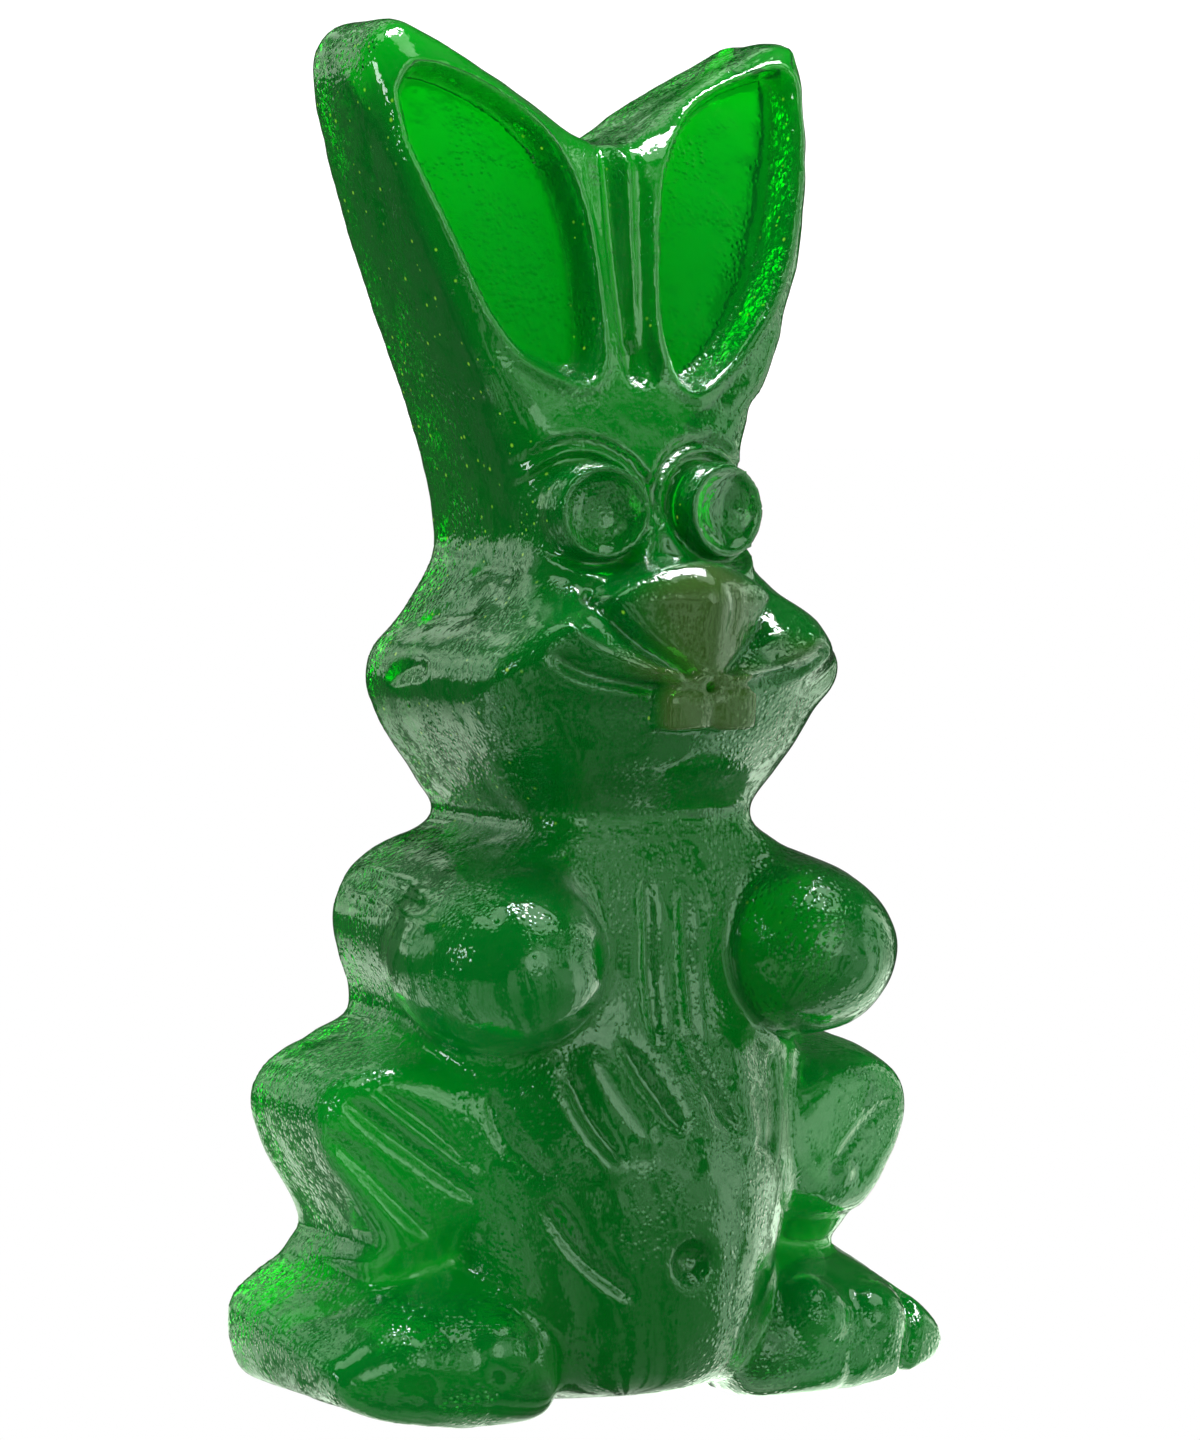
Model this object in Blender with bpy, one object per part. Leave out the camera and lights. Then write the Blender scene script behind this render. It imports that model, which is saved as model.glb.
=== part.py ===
"""Gummy rabbit: one piece of clear jelly, cast upright-rabbit relief, flat at the back and at the feet.

The shape is worked out as a field of signed distances, in millimetres, on a regular lattice: the outline
of the casting is pushed forward from its flat back, the front is the union of the body forms, and the
face, ears, paws and fur are raised or cut by named amounts. The surface where the field is zero becomes
the mesh.

Axes: X to the viewer's right, Z up, and "height" the distance in front of the flat back (towards -Y).
"""

from __future__ import annotations

from dataclasses import dataclass, field
from enum import Enum
from typing import ClassVar

import bpy
import numpy as np

# ---------------------------------------------------------------- driving sizes (millimetres)
MM = 0.001
BACK_Y = 13.04               # the flat back stands this far behind the origin
MIDDLE_X = 0.17              # the middle of the casting is this far right of the line between the eyes
LATTICE = 0.55               # spacing of the lattice that the surface is read from
TRIANGLES = 11400            # what the finished solid is thinned to
FINEST = 0.42                # half width of the finest groove or ridge

Point2 = tuple[float, float]
Point3 = tuple[float, float, float]


# ------------------------------------------------------------------ fields and curves
def smooth_curve(knots: np.ndarray, steps: int) -> np.ndarray:
    """A Catmull-Rom curve: between two knots, a cubic whose slope at a knot is half the step past it.

    Args:
        knots: The points to pass through, one a row.
        steps: How many points are made for each knot.

    Returns:
        The points of the curve, with the last knot.
    """
    before = np.vstack([2 * knots[0] - knots[1], knots[:-2]])
    start, stop = knots[:-1], knots[1:]
    after = np.vstack([knots[2:], 2 * knots[-1] - knots[-2]])
    t = (np.arange(steps) / steps)[None, :, None]
    start, stop, before, after = (part[:, None, :] for part in (start, stop, before, after))
    curve = 0.5 * (2 * start + (stop - before) * t
                   + (2 * before - 5 * start + 4 * stop - after) * t ** 2
                   + (3 * start - before - 3 * stop + after) * t ** 3)
    return np.vstack([curve.reshape(-1, knots.shape[1]), knots[-1]])


def join(first: np.ndarray, second: np.ndarray, round_by: float | np.ndarray) -> np.ndarray:
    """Union of two fields: the smaller of both, less a parabola of width round_by where they meet."""
    mix = np.clip(0.5 + 0.5 * (second - first) / round_by, 0.0, 1.0)
    return second + (first - second) * mix - round_by * mix * (1.0 - mix)


def trim(first: np.ndarray, second: np.ndarray, round_by: float | np.ndarray) -> np.ndarray:
    """What two fields share, its edge rounded by about round_by."""
    return -join(-first, -second, round_by)


def smooth_step(low: float, high: float, value: np.ndarray) -> np.ndarray:
    """0 at low, 1 at high, with the cubic 3t^2 - 2t^3 between (low may be the larger)."""
    t = np.clip((value - low) / (high - low), 0.0, 1.0)
    return t * t * (3.0 - 2.0 * t)


def ring(distance: np.ndarray, radius: float, width: float, depth: float) -> np.ndarray:
    """A ring sunk by depth, as a bell curve of half width width round a radius."""
    return depth * np.exp(-((distance - radius) / max(width, FINEST)) ** 2)


@dataclass(frozen=True)
class Lattice:
    """The regular lattice that fields are worked out on.

    Attributes:
        x: Places across, shaped (nx, 1, 1).
        h: Heights in front of the back, shaped (1, nh, 1).
        z: Places up, shaped (1, 1, nz).
        step: The spacing.
    """

    x: np.ndarray
    h: np.ndarray
    z: np.ndarray
    step: float

    @staticmethod
    def around(half_width: float, depth: float, tall: float, step: float, margin: float = 2.0) -> "Lattice":
        """A lattice that holds the body, with an empty margin."""
        def axis(low: float, high: float) -> np.ndarray:
            count = int(np.ceil((high - low) / step)) + 1
            return low + step * np.arange(count)
        x = axis(-half_width - margin, half_width + margin)
        h = axis(-margin, depth + margin)
        z = axis(-margin, tall + margin)
        return Lattice(x[:, None, None], h[None, :, None], z[None, None, :], step)

    @property
    def corner(self) -> np.ndarray:
        """The lowest corner (x, h, z)."""
        return np.array([self.x.flat[0], self.h.flat[0], self.z.flat[0]])


def loop_field(grid: Lattice, loop: np.ndarray) -> np.ndarray:
    """Signed distance to a closed loop of points (x, z), minus inside, shaped (nx, 1, nz)."""
    px, pz = np.broadcast_arrays(grid.x[:, 0, :], grid.z[0])
    nearest = np.full(px.shape, np.inf)
    inside = np.zeros(px.shape, dtype=bool)
    for (ax, az), (bx, bz) in zip(loop, np.roll(loop, -1, axis=0)):
        ex, ez = bx - ax, bz - az
        length2 = ex * ex + ez * ez
        if length2 == 0.0:
            continue
        along = np.clip(((px - ax) * ex + (pz - az) * ez) / length2, 0.0, 1.0)
        nearest = np.minimum(nearest, (px - ax - along * ex) ** 2 + (pz - az - along * ez) ** 2)
        if ez != 0.0:
            inside ^= ((az > pz) != (bz > pz)) & (px < ax + (pz - az) * ex / ez)
    return (np.sqrt(nearest) * np.where(inside, -1.0, 1.0))[:, None, :]


@dataclass(frozen=True)
class Ball:
    """An ellipsoid: its middle (x, h, z) and its half sizes, on one side or both.

    Attributes:
        flat: A place on the plane that flattens it and the way out of that plane, where it has one.
    """

    middle: Point3
    half: Point3
    both: bool = True
    flat: tuple[Point3, Point3] | None = None
    FLAT_ROUND: ClassVar[float] = 1.4

    def field(self, grid: Lattice) -> np.ndarray:
        """About the signed distance: q (q - 1) / |grad q|, with q the scaled distance from the middle."""
        x = np.abs(grid.x) if self.both else grid.x
        offset = (x - self.middle[0], grid.h - self.middle[1], grid.z - self.middle[2])
        near = np.sqrt(sum((o / r) ** 2 for o, r in zip(offset, self.half)))
        slope = np.sqrt(sum((o / r ** 2) ** 2 for o, r in zip(offset, self.half)))
        egg = near * (near - 1.0) / np.maximum(slope, 1e-6)
        if self.flat is None:
            return egg
        place, way = np.array(self.flat[0]), np.array(self.flat[1])
        way = way / np.linalg.norm(way)
        beyond = (x - place[0]) * way[0] + (grid.h - place[1]) * way[1] + (grid.z - place[2]) * way[2]
        return trim(egg, beyond, self.FLAT_ROUND)


@dataclass(frozen=True)
class Limb:
    """A round bar between two points (x, h, z), mirrored; its radius runs evenly from end to end."""

    start: Point3
    stop: Point3
    start_radius: float
    stop_radius: float

    def field(self, grid: Lattice) -> np.ndarray:
        """Distance to the nearest place on the bar's axis, less the radius there."""
        axis = np.array(self.stop) - np.array(self.start)
        offset = (np.abs(grid.x) - self.start[0], grid.h - self.start[1], grid.z - self.start[2])
        along = np.clip(sum(o * a for o, a in zip(offset, axis)) / (axis @ axis), 0.0, 1.0)
        away = np.sqrt(sum((o - along * a) ** 2 for o, a in zip(offset, axis)))
        return away - (self.start_radius + (self.stop_radius - self.start_radius) * along)


class Face(Enum):
    """The face of the casting that a stroke is drawn on: the sign of its x, or 0 for the front."""

    LEFT = -1
    FRONT = 0
    RIGHT = 1


@dataclass(frozen=True)
class Stroke:
    """A groove (or with a minus depth a ridge) drawn on one face of the casting.

    Attributes:
        points: The line, as (x, z) on the front or (h, z) on a side wall.
        width: Half width of the groove.
        depth: How deep it is.
        face: The face it is on.
        mirror: Whether a front stroke is repeated on the other half.
    """

    points: tuple[Point2, ...]
    width: float
    depth: float
    face: Face = Face.FRONT
    mirror: bool = False

    def sunk(self, grid: Lattice) -> np.ndarray:
        """How far the surface sinks: a bell curve of the distance to the line, narrower at its ends."""
        side = self.face.value
        across = grid.h if side else np.abs(grid.x) if self.mirror else grid.x
        line = smooth_curve(np.array(self.points), 4)
        nearest = np.full(np.broadcast_shapes(across.shape, grid.z.shape), np.inf)
        count = len(line) - 1
        for index, (start, stop) in enumerate(zip(line[:-1], line[1:])):
            edge = stop - start
            along = ((across - start[0]) * edge[0] + (grid.z - start[1]) * edge[1]) / (edge @ edge)
            along = np.clip(along, 0.0, 1.0)
            away = (across - start[0] - along * edge[0]) ** 2 + (grid.z - start[1] - along * edge[1]) ** 2
            taper = 1.0 - 0.55 * (2.0 * (index + along) / count - 1.0) ** 4
            nearest = np.minimum(nearest, away / taper ** 2)
        depth = self.depth * np.exp(-nearest / max(self.width, FINEST) ** 2)
        return depth * (grid.x * side > 1.5) if side else depth


# ------------------------------------------------------------------ sub-assemblies of the casting
@dataclass(frozen=True)
class Walls:
    """The side walls: the outline in the plane of the back, drafted and rounded."""

    draft: float = 0.01          # how far the walls lean in, per mm of height
    back_round: float = 1.3
    base_round: float = 1.6
    right_spread: tuple[Point2, ...] = (     # how much wider the right half is, by z
        (0.0, 1.6), (2.5, 2.0), (5.0, 0.5), (9.0, 0.2), (12.0, 0.9), (22.0, 0.5), (25.0, 0.4), (27.5, 1.1),
        (31.0, 1.0), (34.0, 0.4), (38.0, 0.8), (42.0, 1.4), (46.0, 0.9), (58.0, 0.6), (64.0, 0.9), (74.0, 1.1),
        (80.0, 0.7), (86.0, 0.4))
    steps: int = 5
    side: tuple[Point2, ...] = (
        (11.5, -4.0), (14.6, -0.6), (18.6, 0.7), (21.4, 1.9), (22.4, 3.8), (22.6, 5.8), (22.2, 7.6), (20.3, 9.4),
        (18.2, 10.7), (17.5, 11.7), (18.3, 13.7), (19.9, 16.4), (20.9, 19.4), (20.4, 21.7), (18.7, 23.2),
        (15.9, 24.3), (14.0, 25.2), (13.8, 26.7), (14.4, 28.8), (14.9, 31.2), (14.6, 32.9), (13.5, 34.7),
        (11.2, 36.2), (8.4, 37.4), (7.7, 38.5), (8.7, 40.1), (10.5, 42.6), (11.8, 44.8), (12.5, 46.8),
        (12.1, 48.9), (10.2, 51.0), (8.4, 53.4), (7.5, 55.4), (7.6, 58.0), (8.3, 61.2), (9.6, 65.2),
        (11.3, 69.4), (13.0, 74.0), (14.6, 79.0), (15.7, 83.2), (16.2, 86.2), (15.9, 88.0),
    )
    ear_left: tuple[Point2, ...] = (
        (14.8, 89.2), (13.1, 89.6), (10.5, 88.4), (7.9, 87.0), (5.6, 85.6), (3.4, 84.0), (1.4, 82.4))
    ear_right: tuple[Point2, ...] = (
        (15.5, 88.9), (14.2, 89.0), (12.0, 87.9), (9.9, 86.8), (7.8, 85.7), (5.5, 84.4), (3.6, 83.0))
    notch: Point2 = (1.4, 81.9)
    edge_round: tuple[Point2, ...] = (   # blend from the walls to the front, by z
        (0.0, 0.5), (8.0, 0.6), (11.0, 1.6), (36.0, 2.0), (39.0, 3.0), (45.0, 3.0), (48.0, 1.6), (51.0, 1.6),
        (54.0, 3.2), (63.0, 3.2), (67.0, 2.0), (90.0, 2.0))

    def field(self, grid: Lattice) -> np.ndarray:
        """Signed distance to the drafted walls."""
        side = np.array(self.side)
        right = np.vstack([side, np.array(self.ear_right), np.array(self.notch)])
        spread = np.array(self.right_spread)
        right[:, 0] += np.interp(right[:, 1], spread[:, 0], spread[:, 1]) * np.clip(right[:, 0] / 6.0, 0.0, 1.0)
        left = np.vstack([side, np.array(self.ear_left)])[::-1] * (-1.0, 1.0)
        return loop_field(grid, smooth_curve(np.vstack([right, left]), self.steps)) + self.draft * grid.h

    def rounding(self, grid: Lattice) -> np.ndarray:
        """How much the edge between walls and front is rounded, at each height."""
        table = np.array(self.edge_round)
        return np.interp(grid.z, table[:, 0], table[:, 1])


@dataclass(frozen=True)
class Trunk:
    """Trunk, head and ears as one front surface, from sections.

    Attributes:
        sections: z, half width, height of the front at its sides, height at its middle, and the power of
            the curve between them.
        flank: Fall of the flanks outside the half width.
    """

    flank: float = 2.4
    sections: tuple[tuple[float, float, float, float, float], ...] = (
        (0.0, 8.6, 9.0, 11.0, 0.75),
        (1.8, 9.3, 12.0, 18.6, 0.75),
        (5.0, 10.2, 13.0, 21.2, 0.75),
        (10.0, 11.3, 13.3, 22.2, 0.75),
        (15.0, 12.3, 13.4, 22.3, 0.75),
        (20.0, 12.7, 13.4, 21.8, 0.75),
        (24.0, 12.5, 13.4, 20.9, 0.75),
        (28.0, 11.8, 13.6, 20.0, 0.75),
        (32.0, 11.2, 15.6, 19.2, 0.75),
        (35.0, 10.6, 16.4, 18.6, 0.75),
        (37.0, 9.6, 16.8, 18.2, 0.8),
        (38.6, 9.2, 16.4, 17.8, 0.9),
        (40.0, 9.6, 16.6, 18.8, 1.0),
        (42.0, 11.0, 16.8, 20.9, 1.0),
        (44.0, 12.2, 17.2, 22.1, 1.0),
        (46.0, 13.0, 18.0, 22.8, 1.0),
        (47.5, 13.2, 18.8, 23.2, 1.0),
        (49.0, 13.0, 19.2, 23.0, 1.0),
        (50.5, 12.6, 18.4, 22.0, 1.0),
        (52.0, 11.8, 18.0, 20.6, 1.0),
        (53.5, 10.8, 17.6, 19.4, 1.0),
        (55.0, 10.0, 16.9, 18.4, 1.0),
        (58.0, 9.3, 15.2, 17.4, 0.9),
        (60.5, 9.4, 14.4, 16.8, 0.8),
        (63.0, 10.2, 13.9, 15.7, 0.8),
        (66.0, 12.0, 14.1, 14.4, 0.75),
        (70.0, 40.0, 13.6, 13.6, 0.75),
        (76.0, 40.0, 12.5, 12.5, 0.75),
        (84.0, 40.0, 10.7, 10.7, 0.75),
        (91.0, 40.0, 9.3, 9.3, 0.75),
    )

    def field(self, grid: Lattice) -> np.ndarray:
        """Height above the front, scaled by the front's own slope."""
        table = smooth_curve(np.array(self.sections), 6)
        width, side, middle, power = (np.interp(grid.z, table[:, 0], table[:, column]) for column in (1, 2, 3, 4))
        reach = np.abs(grid.x) / width
        crown = np.clip(1.0 - reach ** 2, 0.0, 1.0) ** power
        surface = side + (middle - side) * crown - self.flank * np.clip(np.abs(grid.x) - width, 0.0, None)
        rise_z = np.gradient(surface, grid.step, axis=2)
        rise_x = np.gradient(surface, grid.step, axis=0)
        return (grid.h - surface) / np.sqrt(1.0 + np.minimum(rise_x ** 2 + rise_z ** 2, 6.0))


@dataclass(frozen=True)
class Ears:
    """The leaf-shaped hollow in each ear, with its thin raised rim, and the folds between the ears."""

    depth: Point2 = (3.4, 2.2)   # of the hollows, at their foot and at their tip
    tall: Point2 = (68.0, 84.0)  # z of those
    wall: float = 0.75           # how far the wall of the hollow leans, as a width
    rim_height: float = 0.35
    rim_width: float = 0.42
    left: tuple[Point2, ...] = (
        (-14.6, 84.8), (-13.6, 86.3), (-11.4, 86.2), (-9.1, 85.4), (-7.0, 84.3), (-5.2, 82.9), (-3.9, 81.1),
        (-2.7, 78.0), (-2.1, 74.0), (-2.0, 69.5), (-2.5, 67.1), (-3.8, 66.4), (-6.0, 67.2), (-8.0, 68.4),
        (-9.9, 71.0), (-11.2, 74.0), (-12.7, 77.6), (-14.2, 81.4),
    )
    right: tuple[Point2, ...] = (
        (3.0, 75.5), (3.7, 79.1), (4.8, 81.5), (6.6, 83.8), (9.1, 85.5), (12.2, 86.7), (13.9, 87.0),
        (14.6, 85.8), (14.5, 83.8), (14.1, 81.0), (13.2, 77.6), (12.2, 74.6), (10.6, 71.4), (8.4, 68.6),
        (6.4, 66.8), (4.8, 65.9), (3.5, 66.4), (2.8, 69.0), (2.7, 72.0),
    )
    folds: tuple[Stroke, ...] = (
        Stroke(((0.2, 83.0), (0.1, 76.0), (0.3, 70.0), (0.5, 66.4)), 0.75, 1.5),
        Stroke(((2.0, 81.0), (1.6, 75.0), (1.4, 69.0), (1.5, 66.2)), 0.5, 0.6),
        Stroke(((-1.6, 81.0), (-1.3, 75.0), (-1.0, 69.0)), 0.45, 0.5),
        Stroke(((1.1, 81.5), (0.9, 75.0), (0.9, 68.6)), 0.4, -0.5),
    )

    def sunk(self, grid: Lattice) -> np.ndarray:
        """How far both hollows sink the front, less the rim that stands round them."""
        total = 0.0
        depth = np.interp(grid.z, self.tall, self.depth)
        for panel in (self.left, self.right):
            edge = loop_field(grid, smooth_curve(np.vstack([panel, panel[0]]), 4))
            total = total + depth * smooth_step(0.0, -self.wall, edge)
            total = total - ring(edge, self.rim_width, self.rim_width, self.rim_height) * (edge > -0.2)
        return total * smooth_step(2.0, 5.0, grid.h)


@dataclass(frozen=True)
class Eyes:
    """Two round eyes that stand out of the face, each in a socket with folds round it."""

    place: Point2 = (4.45, 58.05)
    top: float = 19.0            # height of the rim
    turn: float = 0.21           # the discs face outward: their fall across, per mm
    radius: float = 2.95         # outside of the rim
    cone: float = 0.16           # how much a disc widens per mm below its rim
    wall: float = 0.2            # roundness of the rim
    dish: Point2 = (2.45, 1.2)  # radius and depth of the dish inside the rim
    line: Point3 = (1.6, 0.3, 0.16)      # the low ring in the dish
    socket: Point3 = (3.4, 0.3, 0.65)
    step_down: float = 0.45      # how far the forehead steps down into the socket
    step_radius: float = 5.3
    folds_above: tuple[Point3, ...] = ((3.95, 0.3, 0.6), (4.45, 0.28, -0.35), (4.95, 0.32, 0.65))
    folds_below: tuple[Point3, ...] = ((4.2, 0.34, 0.5),)

    def away(self, grid: Lattice) -> np.ndarray:
        """Distance from the middle of the nearer eye, over the front."""
        return np.sqrt((np.abs(grid.x) - self.place[0]) ** 2 + (grid.z - self.place[1]) ** 2)

    def rings(self, grid: Lattice) -> np.ndarray:
        """How far the face sinks round each eye: the socket, the step under the brow, less the folds."""
        away = self.away(grid)
        above = smooth_step(-0.6, 2.0, grid.z - self.place[1] - 0.35 * (np.abs(grid.x) - self.place[0]))
        sunk = ring(away, *self.socket)
        sunk = sunk + self.step_down * above * smooth_step(self.step_radius + 0.2, self.step_radius - 0.2, away)
        for fold in self.folds_above:
            sunk = sunk - above * ring(away, *fold)
        for fold in self.folds_below:
            sunk = sunk - (1.0 - above) * ring(away, *fold)
        return smooth_step(10.0, 13.0, grid.h) * sunk

    def field(self, grid: Lattice) -> np.ndarray:
        """The discs, dished inside their rims."""
        away = self.away(grid)
        front = self.top - self.turn * (np.abs(grid.x) - self.place[0])
        dish = self.dish[1] * np.clip(1.0 - (away / self.dish[0]) ** 2, 0.0, 1.0) ** 0.45
        wide = self.radius + self.cone * np.clip(front - grid.h, 0.0, 4.0)
        disc = trim(away - wide, grid.h - front + dish - ring(away, *self.line), self.wall)
        return trim(disc, 11.0 - grid.h, self.wall)


@dataclass(frozen=True)
class Snout:
    """Muzzle, nose, front teeth and mouth.

    Attributes:
        lip: Height of the upper lip at its middle, its fall across (per mm squared), its fall upwards (per mm).
        mouth: The mouth line on one half: (x, z).
        crest: z of the muzzle's upper edge at the middle, and its fall per mm across.
        ridge: The nose's front line: (z, height).
        slope: Fall of the nose's two facets, per mm.
        kite: Half width of the nose's outline: (z, x).
        arch: z of the top of the nose, and its fall per mm squared.
    """

    lip: Point3 = (24.2, 0.04, 0.28)
    mouth: tuple[Point2, ...] = ((0.0, 47.1), (3.2, 47.25), (6.2, 47.7), (8.2, 48.4), (9.2, 49.1))
    crest: Point2 = (52.9, 0.16)
    ridge: tuple[Point2, ...] = (
        (47.0, 24.3), (47.5, 24.55), (48.8, 24.95), (50.1, 25.2), (51.7, 25.5), (52.6, 25.6), (53.6, 25.2),
        (54.4, 24.4), (55.2, 23.4))
    slope: float = 0.6
    kite: tuple[Point2, ...] = ((47.0, 0.3), (48.0, 1.5), (49.5, 3.2), (51.0, 4.7), (52.4, 5.7), (53.4, 6.0), (55.0, 5.9))
    arch: Point2 = (55.0, 0.066)
    tooth_width: float = 3.25
    tooth_span: Point2 = (44.4, 48.0)
    tooth_top: float = 24.5
    tooth_round: float = 0.1
    puffs: tuple[tuple[Ball, float], ...] = (
        (Ball((11.6, 13.6, 47.9), (3.6, 5.6, 3.6)), 1.2),
        (Ball((8.6, 17.2, 50.2), (3.4, 4.6, 2.6)), 1.5),
        (Ball((7.2, 19.0, 49.2), (4.2, 4.6, 2.3), both=False), 0.9),
    )
    lines: tuple[Stroke, ...] = (
        Stroke(((0.0, 47.1), (3.2, 47.25), (6.2, 47.7), (8.2, 48.4), (9.2, 49.1)), 0.4, 0.55, mirror=True),
        Stroke(((-3.7, 46.4), (-6.4, 46.9), (-8.8, 47.6), (-10.2, 48.6)), 0.5, -0.4),
        Stroke(((6.2, 52.6), (5.0, 50.8), (3.4, 49.2), (1.4, 47.9)), 0.42, 0.75, mirror=True),
        Stroke(((-8.6, 50.9), (-6.9, 49.8), (-4.6, 48.6), (-2.6, 47.9)), 0.75, -0.6),
        Stroke(((3.6, 48.6), (6.0, 49.4), (8.4, 50.4)), 0.4, 0.3),
        Stroke(((1.2, 53.4), (1.5, 52.0), (1.1, 50.4)), 0.3, 0.25),
    )

    def muzzle(self, grid: Lattice) -> np.ndarray:
        """The upper lip and muzzle: a front that falls across and upwards, between mouth line and crest."""
        across = np.abs(grid.x)
        line = smooth_curve(np.array(self.mouth), 4)
        lowest = np.interp(across, line[:, 0], line[:, 1])
        rise = np.clip(grid.z - lowest, 0.0, None)
        front = (grid.h - (self.lip[0] - self.lip[1] * grid.x ** 2 - self.lip[2] * rise)) * 0.85
        above = grid.z - (self.crest[0] - self.crest[1] * across)
        return trim(trim(front, above, 0.9), trim(lowest - grid.z, 15.0 - grid.h, 0.5), 0.4)

    def nose(self, grid: Lattice) -> np.ndarray:
        """A wedge whose facets fall evenly from its ridge, inside a kite with an arched top."""
        across = np.sqrt(grid.x ** 2 + 0.35 ** 2) - 0.35
        line = smooth_curve(np.array(self.ridge), 4)
        ridge = np.interp(grid.z, line[:, 0], line[:, 1])
        outline = smooth_curve(np.array(self.kite), 4)
        wide = np.interp(grid.z, outline[:, 0], outline[:, 1])
        outside = np.clip(np.abs(grid.x) - wide, 0.0, None)
        facets = (grid.h - ridge + self.slope * across + 1.5 * outside) * 0.8
        above = grid.z - (self.arch[0] - self.arch[1] * grid.x ** 2)
        under = self.mouth[0][1] + 0.3 - grid.z + 0.5 * (grid.h - self.ridge[1][1])
        return trim(trim(facets, above, 0.6), trim(under, 15.0 - grid.h, 0.5), 0.5)

    def teeth(self, grid: Lattice) -> np.ndarray:
        """Two front teeth, side by side, each with its own round front."""
        middle = np.abs(np.abs(grid.x) - self.tooth_width / 2)
        across = middle - self.tooth_width / 2
        tall = np.maximum(self.tooth_span[0] - grid.z, grid.z - self.tooth_span[1])
        front = grid.h - self.tooth_top - 0.1 * (grid.z - self.tooth_span[0]) + self.tooth_round * middle ** 2
        return trim(trim(trim(across, tall, 0.7), front, 0.45), 15.0 - grid.h, 0.5)


@dataclass(frozen=True)
class Arms:
    """Shoulders, and the arms that reach forward as one egg each."""

    shoulders: tuple[tuple[Limb | Ball, float], ...] = (
        (Limb((11.3, 3.0, 31.4), (10.3, 18.7, 29.9), 6.0, 5.3), 1.2),
        (Ball((9.0, 8.0, 34.0), (5.8, 11.0, 3.4)), 2.5),
    )
    paws: tuple[tuple[Limb | Ball, float], ...] = (
        (Limb((9.6, 1.0, 31.2), (10.2, 12.0, 30.4), 5.0, 5.2), 0.8),
        (Ball((11.0, 15.0, 29.6), (6.1, 9.8, 5.6)), 1.0),
    )
    creases: tuple[Stroke, ...] = (
        Stroke(((2.2, 34.9), (9.0, 34.5), (15.5, 33.8)), 0.26, -0.3, Face.LEFT),
        Stroke(((2.2, 33.5), (9.0, 33.1), (17.8, 32.2)), 0.26, -0.32, Face.LEFT),
        Stroke(((2.2, 34.9), (9.0, 34.5), (15.5, 33.8)), 0.26, -0.3, Face.RIGHT),
        Stroke(((2.2, 33.5), (9.0, 33.1), (17.8, 32.2)), 0.26, -0.32, Face.RIGHT),
    )


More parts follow.
